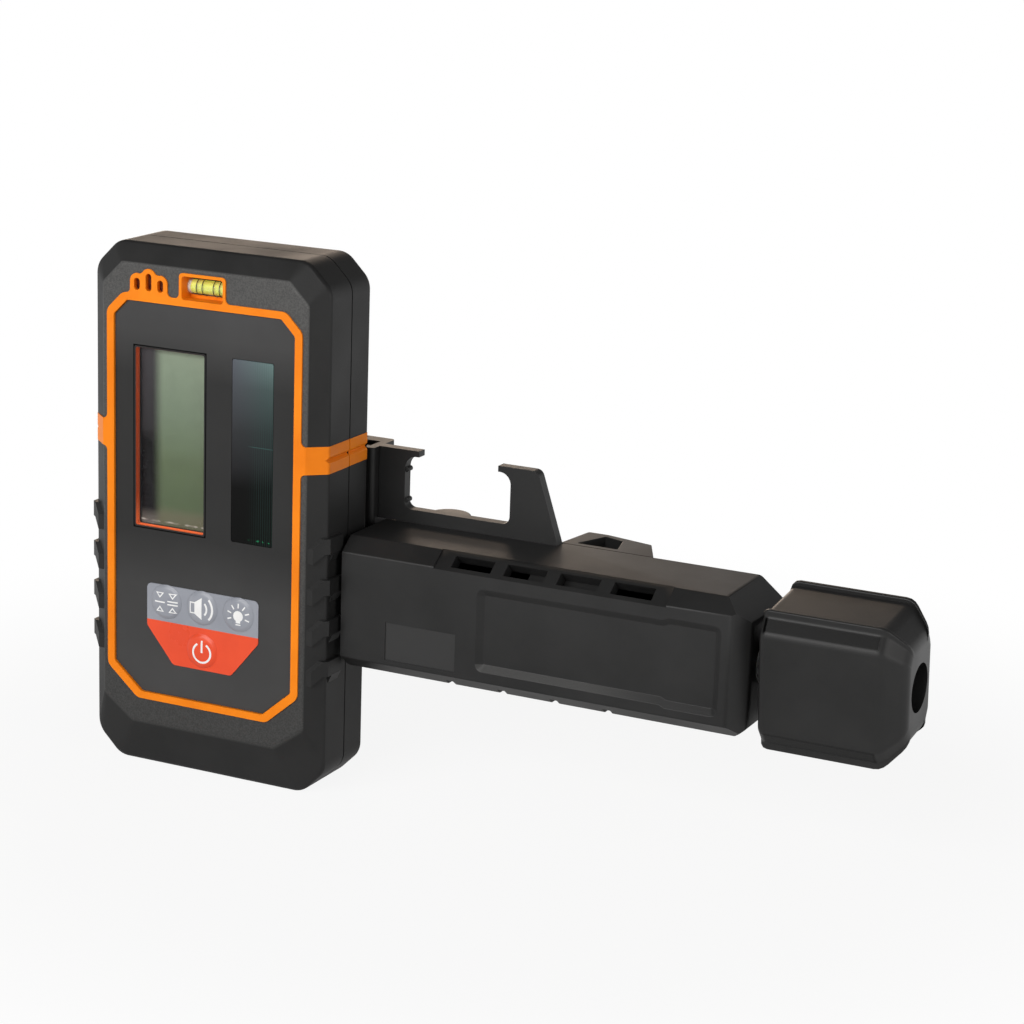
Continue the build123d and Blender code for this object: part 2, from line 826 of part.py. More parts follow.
tray_low = rail_low - tray_floor
tray_middle = Pos(0, (tray_front + tray_plate_back) / 2)
tray = tower(tray_middle * RectangleRounded(2 * tray_half, tray_plate_back - tray_front, tray_round),
             tray_low, tray_top)
tray_field = Pos(0, (tray_low + tray_top) / 2) * RectangleRounded(
    2 * (tray_half - tray_margin), tray_top - tray_low - 2 * tray_margin, tray_round)
tray -= plate(tray_field, tray_plate_back - tray_sink, tray_plate_back)
for rib_side in (-1, 0, 1):
    rib_x = rib_side * tray_half / 2
    tray += block((rib_x - tray_rib / 2, rib_x + tray_rib / 2),
                  (tray_plate_back - tray_sink, tray_plate_back),
                  (tray_low + tray_margin, tray_top - tray_margin))
tray -= block((-tray_inner, tray_inner), (rail_neck_back - slide_gap, tray_plate_front), (rail_low, tray_top))
lip_inner = rail_neck_half + slide_gap
tray -= block((-lip_inner, lip_inner), (tray_front, rail_neck_back), (tray_low, tray_top))
tongue = block((tray_half - tray_wall, arm_left + tongue_reach), (arm_back, tray_plate_back),
               (arm_low + tongue_inset, arm_high - arm_wall))
tray += tongue
tray_screws_at = [(arm_left + 2 * arm_wall, axis_height - neck_height / 2),
                  (arm_left + 2 * arm_wall, axis_height + neck_height / 2)]
jaw_screws_at = [(fixed_jaw_left + fixed_jaw_width / 2, axis_height - neck_height / 2),
                 (fixed_jaw_left + fixed_jaw_width / 2, axis_height + neck_height / 2)]
for screw_x, screw_z in tray_screws_at:
    tray -= rod_y(screw_x, screw_z, screw_radius + press_gap, arm_back, tray_plate_back - tray_wall / 2)
save(tray, "tray")


# Clamp arm housing
def arm_profile(inset, back):
    front = arm_front + inset
    low = arm_low + inset
    high = arm_high - inset
    shoulder = front + arm_cut_depth
    return polygon([(front, low + arm_cut_height), (front, high - arm_cut_height), (shoulder, high),
                    (back, high), (back, low), (shoulder, low)])


def arm_block():
    # The arm's section, trimmed at the knob end by its outlines from the front and from above.
    bend = arm_right - arm_taper
    front_view = polygon([(arm_left, arm_low), (arm_right - arm_low_taper, arm_low),
                          (arm_right, arm_low + arm_low_inset),
                          (arm_right, arm_high - arm_end_inset), (bend, arm_high), (arm_left, arm_high)])
    front_view = fillet([v for v in front_view.vertices() if v.X > bend - touch], arm_end_round)
    nose_back = arm_front + arm_nose
    top_view = polygon([(arm_left, arm_front), (arm_right - arm_nose, arm_front), (arm_right, nose_back),
                        (arm_right, arm_back), (arm_left, arm_back)])
    nose_corners = [v for v in top_view.vertices() if v.X > bend and v.Y < nose_back + touch]
    top_view = fillet(nose_corners, arm_end_round)
    section = arm_profile(0, arm_back)
    section = fillet([v for v in section.vertices() if v.X < arm_back - touch], arm_round)
    section = bar(section, arm_left, arm_right)
    return section & plate(front_view, arm_front, arm_back) & tower(top_view, arm_low, arm_high)


def recess_outline(inset, rounding):
    step = recess_step_rise
    left = recess_left + inset
    right = recess_right - inset
    low = recess_low + inset
    high = recess_high - inset
    sketch = polygon([(left, low + step), (recess_step, low + step), (recess_step + 2 * step, low),
                      (right, low), (right, high), (recess_step + 2 * step, high),
                      (recess_step, high - step), (left, high - step)])
    return fillet([v for v in sketch.vertices() if v.X < left + touch or v.X > right - touch], rounding)


posts_x = (fixed_jaw_right + post_radius + slide_gap, arm_right - arm_taper - post_radius)
plate_inset = arm_wall + slide_gap
plate_low = arm_low + plate_inset
plate_high = arm_high - plate_inset
arm_posts = [(post_x, post_z) for post_x in posts_x
             for post_z in (plate_low + post_radius, plate_high - post_radius)]

arm_cavity = bar(arm_profile(arm_wall, arm_back), arm_left + arm_wall, arm_right - arm_taper)
for post_x, post_z in arm_posts:
    arm_cavity -= rod_y(post_x, post_z, post_radius, arm_front, plate_front)
arm_housing = arm_block()
slope = (arm_cut_depth ** 2 + arm_cut_height ** 2) ** 0.5
slope_run = (arm_cut_depth / slope, arm_cut_height / slope)
slope_out = (-slope_run[1], slope_run[0])


def shoulder_dip():
    # The slotted stretch of the shoulder lies a little below the rest of its slope.
    corners = []
    for along, out in ((-1, -slot_dip), (2, -slot_dip), (2, arm_wall), (-1, arm_wall)):
        corners.append((arm_front + along * arm_cut_depth + out * slope_out[0],
                        arm_high - arm_cut_height + along * arm_cut_height + out * slope_out[1]))
    left = slot_first - dip_margin
    right = slot_first + (slot_count - 1) * slot_pitch + slot_length + dip_margin
    return bar(polygon(corners), left, right)


arm_housing -= shoulder_dip()
recess_rim = at_depth(recess_outline(0, recess_round), arm_front)
recess_floor = at_depth(recess_outline(recess_slope, recess_floor_round), arm_front + recess_depth)
arm_housing -= loft([recess_rim, recess_floor], ruled=True)
arm_housing -= plate(polygon([(label_left, label_low), (label_right, label_low), (label_right, label_high),
                              (label_left, label_high)]), arm_front, arm_front + label_depth)
arm_housing -= arm_cavity


def slot_prism(left):
    # One slot through the sloping shoulder of the arm, square to the slope.
    cut = arm_cut_depth - slot_margin
    low = arm_high - arm_cut_height + slot_margin
    outline = [(arm_front + slot_margin, low), (arm_front + slot_margin - arm_wall, low + arm_wall),
               (arm_front + cut - arm_wall, arm_high + arm_wall), (arm_front + cut, arm_high - slot_margin),
               (arm_front + cut + arm_wall, arm_high - slot_margin - arm_wall),
               (arm_front + slot_margin + arm_wall, low - 2 * arm_wall)]
    return bar(polygon(outline), left, left + slot_length)


arm_shoulder = arm_front + arm_cut_depth
for slot_index in range(slot_count):
    slot_at = slot_first + slot_index * slot_pitch
    arm_housing -= slot_prism(slot_at)
    arm_housing -= block((slot_at - drain_lead, slot_at - drain_lead + drain_width),
                         (arm_shoulder - drain_back, arm_shoulder + drain_back),
                         (arm_low, arm_low + drain_rise))
notch_right = frame_hook_right + panel_gap
arm_housing -= block((arm_left, notch_right), (plate_front, arm_back), (axis_height, arm_high))
arm_housing -= rod_x(axis_depth, axis_height, bush_radius + press_gap, arm_left, arm_left + arm_wall)
arm_housing -= rod_x(axis_depth, axis_height, bush_radius + press_gap, arm_right - arm_taper, arm_right)
for post_x, post_z in arm_posts:
    arm_housing -= rod_y(post_x, post_z, screw_radius + press_gap, arm_front + arm_wall, plate_front)
save(arm_housing, "arm_housing")


# Back plate with the reading frame above it
slot_left = carriage_mid - neck_width / 2 - jaw_close - slide_gap
slot_right = carriage_mid + neck_width / 2 + jaw_open + slide_gap
plate_left = arm_left + arm_wall + slide_gap
plate_right = arm_right - arm_taper - slide_gap
tab_low = frame_top - frame_tab_thick
hook_high = frame_top - frame_hook_drop
hook_low = tab_low - frame_hook_drop
frame_points = [
    (plate_left, plate_low), (plate_right, plate_low), (plate_right, plate_high),
    (frame_hook_right, plate_high), (frame_hook_right, arm_high), (frame_hook_top, hook_high),
    (frame_hook_tip, hook_high), (frame_hook_tip, hook_low), (frame_hook_left, hook_low),
    (frame_hook_left, strip_high), (leg_right, strip_high), (leg_right, tab_low),
    (leg_right + frame_tab, tab_low), (leg_right + frame_tab, frame_top),
    (frame_left, frame_top), (frame_left, arm_high), (plate_left, arm_high),
]


def corners_at(sketch, places):
    return [v for v in sketch.vertices()
            for x, z in places if abs(v.X - x) < touch and abs(v.Y - z) < touch]


frame_sketch = polygon(frame_points)
tab_round = min(frame_tab, frame_hook_tab) - tab_flat
frame_sketch = fillet(corners_at(frame_sketch, [(frame_hook_left, hook_low), (leg_right, tab_low)]), tab_round)
frame_sketch = fillet(corners_at(frame_sketch, [(frame_hook_left, strip_high), (leg_right, strip_high),
                                                (frame_hook_top, hook_high)]), frame_round)
back_plate = plate(frame_sketch, plate_front, arm_back)
for rib_height in (strip_high + frame_round, tab_low - tab_round - rib_radius):
    back_plate += rod_y(leg_right, rib_height, rib_radius, plate_front + rib_radius, arm_back)
back_plate -= block((slot_left, slot_right), (plate_front, arm_back),
                    (axis_height - neck_height / 2 - slide_gap, axis_height + neck_height / 2 + slide_gap))
plate_screw_seat = arm_back - screw_head_thick - slide_gap
for post_x, post_z in arm_posts:
    back_plate -= rod_y(post_x, post_z, screw_hole_radius, plate_front, arm_back)
    back_plate -= rod_y(post_x, post_z, screw_head_radius + slide_gap, plate_screw_seat, arm_back)
for screw_x, screw_z in tray_screws_at + jaw_screws_at:
    back_plate -= rod_y(screw_x, screw_z, screw_hole_radius, plate_front, arm_back)
save(back_plate, "back_plate")
save(group(screw_y(*place, axis_depth, plate_screw_seat) for place in arm_posts), "arm_screws")
save(group(screw_y(*place, arm_back + tray_wall, plate_front) for place in tray_screws_at + jaw_screws_at),
     "jaw_screws")


# Fixed jaw
nose_radius = fixed_jaw_width / 2
nose_depth = arm_back + jaw_depth - nose_radius
fixed_sketch = Pos(fixed_jaw_left + nose_radius, (arm_back + nose_depth) / 2) * Rectangle(
    fixed_jaw_width, nose_depth - arm_back)
fixed_sketch += Pos(fixed_jaw_left + nose_radius, nose_depth) * Circle(nose_radius)
fixed_jaw = tower(fixed_sketch, arm_low, arm_high + fixed_jaw_rise)
fixed_jaw = fillet(fixed_jaw.edges().group_by(Axis.Z)[-1] + fixed_jaw.edges().group_by(Axis.Z)[0], jaw_round)
for screw_x, screw_z in jaw_screws_at:
    fixed_jaw -= rod_y(screw_x, screw_z, screw_radius + press_gap, arm_back, arm_back + 2 * tray_wall)
save(fixed_jaw, "fixed_jaw")


# Moving jaw, its carriage inside the arm, the nut and the screws that join them
jaw_tip_depth = arm_back + jaw_depth
jaw_sketch = polygon([
    (jaw_left, jaw_face),
    (jaw_left + jaw_lean, jaw_tip_depth),
    (jaw_left + jaw_lean + jaw_tip, jaw_tip_depth),
    (jaw_left + jaw_shoulder, arm_back + jaw_shoulder_depth),
    (jaw_left + jaw_base, arm_back + jaw_foot_depth),
    (jaw_left + jaw_base, jaw_face),
])
neck = (carriage_mid - neck_width / 2, carriage_mid + neck_width / 2)
neck_low = axis_height - neck_height / 2
neck_high = axis_height + neck_height / 2
carriage_back = plate_front - slide_gap
jaw_sketch = fillet([v for v in jaw_sketch.vertices() if v.Y > jaw_face + jaw_pocket], jaw_round)
moving_jaw = tower(jaw_sketch, arm_low, arm_high)
moving_jaw += block(neck, (carriage_back, jaw_face), (neck_low, neck_high))
pocket = polygon([
    (jaw_left + jaw_lean + jaw_pocket, jaw_face + jaw_pocket),
    (jaw_left + jaw_lean + jaw_tip, jaw_tip_depth - jaw_pocket),
    (jaw_left + jaw_shoulder - jaw_tip - jaw_pocket_lean, arm_back + jaw_shoulder_depth - jaw_pocket / 2),
    (jaw_left + jaw_shoulder - jaw_tip, jaw_face + jaw_pocket),
])
moving_jaw -= tower(pocket, neck_high + jaw_pocket / 2, arm_high)
carriage_left = carriage_mid - carriage_width / 2
carriage_right = carriage_mid + carriage_width / 2
carriage = bar(arm_profile(arm_wall + slide_gap, carriage_back), carriage_left, carriage_right)
carriage -= rod_x(axis_depth, axis_height, screw_shaft_radius + slide_gap, carriage_left, carriage_right)
nut_left = carriage_mid - nut_length / 2
nut_right = carriage_mid + nut_length / 2
carriage -= rod_x(axis_depth, axis_height, nut_radius + press_gap, nut_left, carriage_right)
carriage_screws_at = [(carriage_mid, neck_low + post_radius), (carriage_mid, neck_high - post_radius)]
screw_to = jaw_face + jaw_depth / 2
for screw_x, screw_z in carriage_screws_at:
    moving_jaw -= rod_y(screw_x, screw_z, screw_hole_radius, carriage_back, screw_to)
    moving_jaw -= rod_y(screw_x, screw_z, screw_head_radius + slide_gap, screw_to, jaw_tip_depth)
    carriage -= rod_y(screw_x, screw_z, screw_radius + press_gap, axis_depth + nut_radius, carriage_back)
save(moving_jaw, "moving_jaw")
save(carriage, "jaw_carriage")
screw_from = axis_depth + nut_radius + slide_gap
save(group(screw_y(*place, screw_from, screw_to) for place in carriage_screws_at), "carriage_screws")
jaw_nut = rod_x(axis_depth, axis_height, nut_radius, nut_left, nut_right)
jaw_nut -= rod_x(axis_depth, axis_height, screw_shaft_radius + running_gap, nut_left, nut_right)
save(jaw_nut, "jaw_nut")


# Lead screw, its bushes, thrust collar and clip
wall_left = arm_right - arm_taper
lead_screw = rod_x(axis_depth, axis_height, screw_shaft_radius, shaft_left + slide_gap, shaft_right)
lead_screw -= rod_x(axis_depth, axis_height, knob_screw_radius + press_gap,
                    shaft_right - knob_screw_length, shaft_right)
save(lead_screw, "lead_screw")
bush_right = arm_left + bush_length
end_bush = rod_x(axis_depth, axis_height, bush_radius, arm_left, bush_right)
end_bush -= rod_x(axis_depth, axis_height, screw_shaft_radius + running_gap, shaft_left, bush_right)
save(end_bush, "end_bush")
shaft_bush = rod_x(axis_depth, axis_height, bush_radius, wall_left, arm_right)
shaft_bush -= rod_x(axis_depth, axis_height, screw_shaft_radius + running_gap, wall_left, arm_right)
save(shaft_bush, "shaft_bush")
collar_right = wall_left - slide_gap
collar_left = collar_right - collar_thick
collar = rod_x(axis_depth, axis_height, collar_radius, collar_left, collar_right)
collar -= rod_x(axis_depth, axis_height, screw_shaft_radius + press_gap, collar_left, collar_right)
save(collar, "thrust_collar")
clip_left = arm_right + slide_gap
clip = rod_x(axis_depth, axis_height, clip_radius, clip_left, clip_left + clip_thick)
clip -= rod_x(axis_depth, axis_height, screw_shaft_radius + press_gap, clip_left, clip_left + clip_thick)
save(clip, "retaining_clip")


# Knob with beaded and coved corners, a softened rim and a tapered end, its screw and washer
def knob_outline(depth, height):
    # The end view: flat faces, and a cove and a bead along each corner.
    wide = depth / (knob_depth / 2)
    tall = height / (knob_height / 2)
    bead_out = depth - knob_cove * wide
    bead_in = bead_out - knob_bead * wide
    cove_high = (knob_face / 2 + knob_cove_rise) * tall
    quarter = [(-depth, knob_face / 2 * tall), (-bead_out, cove_high), (-bead_out, height),
               (-bead_in, height), (-bead_in, height - knob_bead_rise * tall)]
    top = quarter + [(-y, z) for y, z in reversed(quarter)]
    sketch = polygon(top + [(y, -z) for y, z in reversed(top)])
    sketch = fillet([v for v in sketch.vertices() if abs(v.X) > depth - touch], knob_face_round * wide)
    coves = [v for v in sketch.vertices() if abs(abs(v.X) - bead_out) < touch and abs(v.Y) < height - touch]
    sketch = fillet(coves, knob_cove_round * wide)
    return fillet([v for v in sketch.vertices() if abs(v.Y) > height - touch], knob_round * wide)


def softened(points, length, steps):
    # The same run of points, each inner corner turned into a short curve.
    run = [points[0]]
    for before, corner, after in zip(points, points[1:], points[2:]):
        ends = []
        for other in (before, after):
            gap = ((other[0] - corner[0]) ** 2 + (other[1] - corner[1]) ** 2) ** 0.5
            share = min(length / gap, 1 / 2)
            ends.append([corner[i] + share * (other[i] - corner[i]) for i in (0, 1)])
        for step in range(steps + 1):
            t = step / steps
            run.append([(1 - t) ** 2 * ends[0][i] + 2 * t * (1 - t) * corner[i] + t ** 2 * ends[1][i]
                        for i in (0, 1)])
    return run + [points[-1]]


knob_half = knob_height / 2
knob_bend = knob_left + knob_body
end_half = knob_end_height / 2
knob_run = softened([(knob_left, knob_half - 2 * knob_rim), (knob_left, knob_half), (knob_bend, knob_half),
                     (knob_right, end_half), (knob_right, end_half - 2 * knob_rim)], knob_rim, knob_rim_steps)
depth_share = (knob_depth - knob_end_depth) / (knob_height - knob_end_height)
knob_sections = []
for section_x, section_half in knob_run[1:-1]:
    section_depth = knob_depth / 2 - depth_share * (knob_half - section_half)
    section = Pos(axis_depth, axis_height) * Rot(0, 0, knob_rest) * knob_outline(section_depth, section_half)
    knob_sections.append(Plane.YZ.offset(section_x) * section)
knob = loft(knob_sections, ruled=True)
knob += rod_x(axis_depth, axis_height, hub_radius, clip_left + clip_thick + slide_gap, knob_left)
knob -= rod_x(axis_depth, axis_height, screw_shaft_radius + press_gap, clip_left, shaft_right)
bore_left = knob_right - knob_bore_depth
knob -= rod_x(axis_depth, axis_height, knob_bore_radius, bore_left, knob_right)
knob -= rod_x(axis_depth, axis_height, knob_screw_radius + slide_gap, shaft_right, bore_left)
save(knob, "knob")
washer = rod_x(axis_depth, axis_height, washer_radius, bore_left, bore_left + washer_thick)
washer -= rod_x(axis_depth, axis_height, knob_screw_radius + press_gap, bore_left, bore_left + washer_thick)
save(washer, "knob_washer")
head_left = bore_left + washer_thick
knob_screw_left = shaft_right - knob_screw_length + slide_gap
knob_screw = rod_x(axis_depth, axis_height, knob_screw_radius, knob_screw_left, head_left)
knob_screw += rod_x(axis_depth, axis_height, knob_screw_head, head_left, head_left + knob_screw_head_thick)
save(knob_screw, "knob_screw")
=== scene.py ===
import json
import math

import bpy
from mathutils import Matrix, Vector

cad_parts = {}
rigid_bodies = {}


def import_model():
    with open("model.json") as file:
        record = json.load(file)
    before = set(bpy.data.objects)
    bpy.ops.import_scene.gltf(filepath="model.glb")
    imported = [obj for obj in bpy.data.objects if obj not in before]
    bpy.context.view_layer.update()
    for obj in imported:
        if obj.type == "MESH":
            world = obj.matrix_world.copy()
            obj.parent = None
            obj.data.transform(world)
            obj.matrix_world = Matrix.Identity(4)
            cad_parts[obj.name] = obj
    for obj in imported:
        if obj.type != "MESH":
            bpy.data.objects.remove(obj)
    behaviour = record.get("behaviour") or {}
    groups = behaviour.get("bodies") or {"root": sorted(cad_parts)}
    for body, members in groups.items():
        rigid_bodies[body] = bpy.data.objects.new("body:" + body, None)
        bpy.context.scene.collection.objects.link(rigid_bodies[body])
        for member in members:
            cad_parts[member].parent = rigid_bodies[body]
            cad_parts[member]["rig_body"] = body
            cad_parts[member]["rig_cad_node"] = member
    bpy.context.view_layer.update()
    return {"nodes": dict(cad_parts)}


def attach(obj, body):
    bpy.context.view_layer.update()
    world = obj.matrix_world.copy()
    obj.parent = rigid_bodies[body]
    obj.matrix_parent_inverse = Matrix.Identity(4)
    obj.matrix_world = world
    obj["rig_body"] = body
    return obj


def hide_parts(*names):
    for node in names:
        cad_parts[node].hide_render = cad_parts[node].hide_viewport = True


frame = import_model()
nodes = frame["nodes"]
mm = 0.001
datum = Vector((80.5, 39.4, 59.0))  # clamp seat, from the receiver's middle, front face and base
quarterTurn = math.pi / 2
touching = 1e-6  # places this near, in metres, are one place
doubles = 1e-7  # corners this near are merged
facing = 0.99  # least share of a normal along an axis for a face that looks that way
print("frame loaded:", len(nodes), "nodes")


def at(x, y, z):
    return (Vector((x, y, z)) - datum) * mm


def placeOn(axis, value):
    # one coordinate of a place
    return at(value, value, value)["XYZ".index(axis)]


def leaveEdit():
    bpy.ops.object.mode_set(mode="OBJECT")


def applyPlace():
    bpy.ops.object.transform_apply(location=True, rotation=True, scale=True)


def clearSelection():
    active = bpy.context.view_layer.objects.active
    if active is not None and active.mode != "OBJECT":
        leaveEdit()
    bpy.ops.object.select_all(action="DESELECT")


def pick(*objs):
    clearSelection()
    for obj in objs:
        obj.select_set(True)
    bpy.context.view_layer.objects.active = objs[0]


def newShape(addPrimitive, **settings):
    # a primitive, with nothing else selected
    clearSelection()
    addPrimitive(**settings)
    return bpy.context.object


def twinOf(obj):
    # a copy with a mesh of its own
    twin = obj.copy()
    twin.data = obj.data.copy()
    bpy.context.scene.collection.objects.link(twin)
    return twin


def editAll(obj):
    pick(obj)
    bpy.ops.object.mode_set(mode="EDIT")
    bpy.ops.mesh.select_all(action="SELECT")


def selectFaces(obj, test):
    # ends in edit mode, with just the faces that pass the test selected
    bpy.ops.object.mode_set(mode="EDIT")
    bpy.ops.mesh.select_mode(type="FACE")
    bpy.ops.mesh.select_all(action="DESELECT")
    leaveEdit()
    for face in obj.data.polygons:
        face.select = test(face)
    bpy.ops.object.mode_set(mode="EDIT")


def selectEnd(obj, axis, place, way):
    # the flat end at a place on the axis that looks forwards or back along it
    index = "XYZ".index(axis)
    selectFaces(obj, lambda face: abs(face.center[index] - place) < touching
                and face.normal[index] * way > facing)


def extrudeBy(x, y, z):
    bpy.ops.mesh.extrude_region_move(TRANSFORM_OT_translate={"value": (x, y, z)})


def drawProfile(start, steps):
    # a plane is merged to one point, and that is moved to the start and extruded step by step
    line = newShape(bpy.ops.mesh.primitive_plane_add, size=mm, location=(0, 0, 0))
    editAll(line)
    bpy.ops.mesh.select_mode(type="VERT")
    bpy.ops.mesh.merge(type="CENTER")
    bpy.ops.transform.translate(value=start)
    for step in steps:
        bpy.ops.mesh.extrude_vertices_move(TRANSFORM_OT_translate={"value": step})
    return line


def faceOutwards():
    bpy.ops.mesh.select_all(action="SELECT")
    bpy.ops.mesh.normals_make_consistent(inside=False)
    leaveEdit()


def join(objs):
    pick(*objs)
    if len(objs) > 1:
        bpy.ops.object.join()
    return bpy.context.view_layer.objects.active


def addModifier(obj, kind, **settings):
    pick(obj)
    mod = obj.modifiers.new(kind.lower(), kind)
    for key, value in settings.items():
        setattr(mod, key, value)
    bpy.ops.object.modifier_apply(modifier=mod.name)


def cutWith(obj, cutter):
    addModifier(obj, "BOOLEAN", operation="DIFFERENCE", solver="EXACT", object=cutter)
    bpy.data.objects.remove(cutter)


def settle(obj, name, body, slot, finish=None, smooth=30):
    # place goes into the mesh, and the piece starts to ride on its body
    pick(obj)
    applyPlace()
    bpy.ops.object.shade_smooth_by_angle(angle=math.radians(smooth))
    obj.name = name
    obj.data.name = name
    obj.data.materials.clear()
    obj.data.materials.append(finishes[finish or slot])
    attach(obj, body)


# Shader groups shared by the finishes

def startGroup(name, inputs, outputs):
    tree = bpy.data.node_groups.new(name, "ShaderNodeTree")
    tree.interface.new_socket("Vector", in_out="INPUT", socket_type="NodeSocketVector")
    for label, value in inputs:
        socket = tree.interface.new_socket(label, in_out="INPUT", socket_type="NodeSocketFloat")
        socket.default_value = value
    for label in outputs:
        tree.interface.new_socket(label, in_out="OUTPUT", socket_type="NodeSocketFloat")
    return tree, tree.nodes.new("NodeGroupInput").outputs, tree.nodes.new("NodeGroupOutput").inputs


def addNode(tree, kind, links=(), **settings):
    node = tree.nodes.new(kind)
    for key, value in settings.items():
        if key.startswith("in_"):
            node.inputs[key[3:].replace("_", " ")].default_value = value
        else:
            setattr(node, key, value)
    for socket, source in links:
        tree.links.new(source, node.inputs[socket])
    return node


def buildMouldedSkin():
    # spark-eroded mould texture, plus the faint cloudiness that handling leaves on plastic
    tree, given, made = startGroup("mouldedSkin", [("Grain", 3000.0), ("Cloud", 60.0)],
                                   ["Height", "Cloudiness"])
    byGrain = [("Vector", given["Vector"]), ("Scale", given["Grain"])]
    byCloud = [("Vector", given["Vector"]), ("Scale", given["Cloud"])]
    pits = addNode(tree, "ShaderNodeTexVoronoi", byGrain, feature="SMOOTH_F1", in_Smoothness=0.6)
    fine = addNode(tree, "ShaderNodeTexNoise", byGrain, in_Detail=3.0, in_Roughness=0.6)
    height = addNode(tree, "ShaderNodeMath", [(0, pits.outputs["Distance"]), (1, fine.outputs["Fac"])],
                     operation="ADD")
    cloud = addNode(tree, "ShaderNodeTexNoise", byCloud, in_Detail=5.0, in_Roughness=0.55)
    spread = addNode(tree, "ShaderNodeMapRange", [("Value", cloud.outputs["Fac"])],
                     in_From_Min=0.34, in_From_Max=0.68)
    tree.links.new(height.outputs[0], made["Height"])
    tree.links.new(spread.outputs["Result"], made["Cloudiness"])
    return tree


def buildRubMarks():
    # short fine rub marks, as on machined or plated metal
    tree, given, made = startGroup("rubMarks", [("Scale", 900.0), ("Stretch", 0.05)], ["Marks"])
    axis = addNode(tree, "ShaderNodeCombineXYZ", [("X", given["Stretch"])], in_Y=1.0, in_Z=1.0)
    long = addNode(tree, "ShaderNodeVectorMath", [(0, given["Vector"]), (1, axis.outputs[0])],
                   operation="MULTIPLY")
    noise = addNode(tree, "ShaderNodeTexNoise", [("Vector", long.outputs[0]), ("Scale", given["Scale"])],
                    in_Detail=4.0, in_Roughness=0.65)
    spread = addNode(tree, "ShaderNodeMapRange", [("Value", noise.outputs["Fac"])],
                     in_From_Min=0.3, in_From_Max=0.7)
    tree.links.new(spread.outputs["Result"], made["Marks"])
    return tree


mouldedSkin = buildMouldedSkin()
rubMarks = buildRubMarks()
print("shader groups ready")


# Finishes

noiseMiddle = (0.3, 0.7)  # most values of a noise lie between these


def grey(tone):
    return (tone, tone, tone)


def inMetres(span):
    return [value * mm for value in span]


def startMaterial(name):
    mat = bpy.data.materials.new(name)
    mat.use_nodes = True
    tree = mat.node_tree
    return mat, tree, tree.nodes["Principled BSDF"], addNode(tree, "ShaderNodeTexCoord").outputs["Object"]


def mixColours(tree, factor, low, high):
    node = addNode(tree, "ShaderNodeMix", [(0, factor)], data_type="RGBA")
    for index, colour in ((6, low), (7, high)):  # the Mix node's two colour sockets
        if isinstance(colour, bpy.types.NodeSocket):
            tree.links.new(colour, node.inputs[index])
        else:
            node.inputs[index].default_value = (*colour, 1.0)
    return node.outputs[2]


def scaleColour(tree, colour, share):
    node = addNode(tree, "ShaderNodeVectorMath", [(0, colour), ("Scale", share)], operation="SCALE")
    return node.outputs["Vector"]


def axisOf(tree, where, axis):
    return addNode(tree, "ShaderNodeSeparateXYZ", [("Vector", where)]).outputs[axis]


def noiseOf(tree, where, scale, detail):
    node = addNode(tree, "ShaderNodeTexNoise", [("Vector", where)], in_Scale=scale, in_Detail=detail)
    return node.outputs["Fac"]


def multiply(tree, value, *others):
    for other in others:
        value = addNode(tree, "ShaderNodeMath", [(0, value), (1, other)], operation="MULTIPLY").outputs[0]
    return value


def larger(tree, first, second):
    return addNode(tree, "ShaderNodeMath", [(0, first), (1, second)], operation="MAXIMUM").outputs[0]


def distanceTo(tree, value, place):
    offset = addNode(tree, "ShaderNodeMath", [(0, value)], operation="SUBTRACT")
    offset.inputs[1].default_value = place
    return addNode(tree, "ShaderNodeMath", [(0, offset.outputs[0])], operation="ABSOLUTE").outputs[0]


def fade(tree, value, start, stop, low=0.0, high=1.0, curve="SMOOTHSTEP"):
    node = addNode(tree, "ShaderNodeMapRange", [("Value", value)], interpolation_type=curve,
                   in_From_Min=start, in_From_Max=stop, in_To_Min=low, in_To_Max=high)
    return node.outputs["Result"]


def fadeAlong(tree, where, axis, start, stop, low=0.0, high=1.0, curve="SMOOTHSTEP"):
    # the same, between two places on an axis
    return fade(tree, axisOf(tree, where, axis), placeOn(axis, start), placeOn(axis, stop), low, high, curve)


def between(tree, where, axis, span):
    # 1 between two places on an axis, 0 outside
    value = axisOf(tree, where, axis)
    tests = []
    for operation, place in zip(("GREATER_THAN", "LESS_THAN"), span):
        test = addNode(tree, "ShaderNodeMath", [(0, value)], operation=operation)
        test.inputs[1].default_value = placeOn(axis, place)
        tests.append(test.outputs[0])
    return multiply(tree, *tests)


def bandAt(tree, where, axis, place, half, strength=1.0):
    # strongest at one place on an axis, and gone half the band's width away
    away = distanceTo(tree, axisOf(tree, where, axis), placeOn(axis, place))
    return fade(tree, away, half * mm, 0.0, 0.0, strength)


def rampOf(tree, factor, stops):
    # a run of colours, each at its share of the way
    node = addNode(tree, "ShaderNodeValToRGB", [("Fac", factor)])
    ramp = node.color_ramp
    for index, (share, colour) in enumerate(stops):
        stop = ramp.elements[index] if index < 2 else ramp.elements.new(share)
        stop.position = share
        stop.color = (*colour, 1.0)
    return node.outputs["Color"]


def clouded(tree, bsdf, label, noise, span):
    # a socket that wanders between two values
    tree.links.new(fade(tree, noise, *noiseMiddle, *span), bsdf.inputs[label])


def glowAsPaintedLight(tree, bsdf, colour, strength):
    # painted light: gives off a little of its own colour, though it is no lamp
    tree.links.new(colour, bsdf.inputs["Base Color"])
    tree.links.new(colour, bsdf.inputs["Emission Color"])
    bsdf.inputs["Emission Strength"].default_value = strength


def skinOf(tree, where, look):
    node = addNode(tree, "ShaderNodeGroup", node_tree=mouldedSkin)
    tree.links.new(where, node.inputs["Vector"])
    node.inputs["Grain"].default_value = look["grain"]
    node.inputs["Cloud"].default_value = look["cloud"]
    return node.outputs["Height"], node.outputs["Cloudiness"]


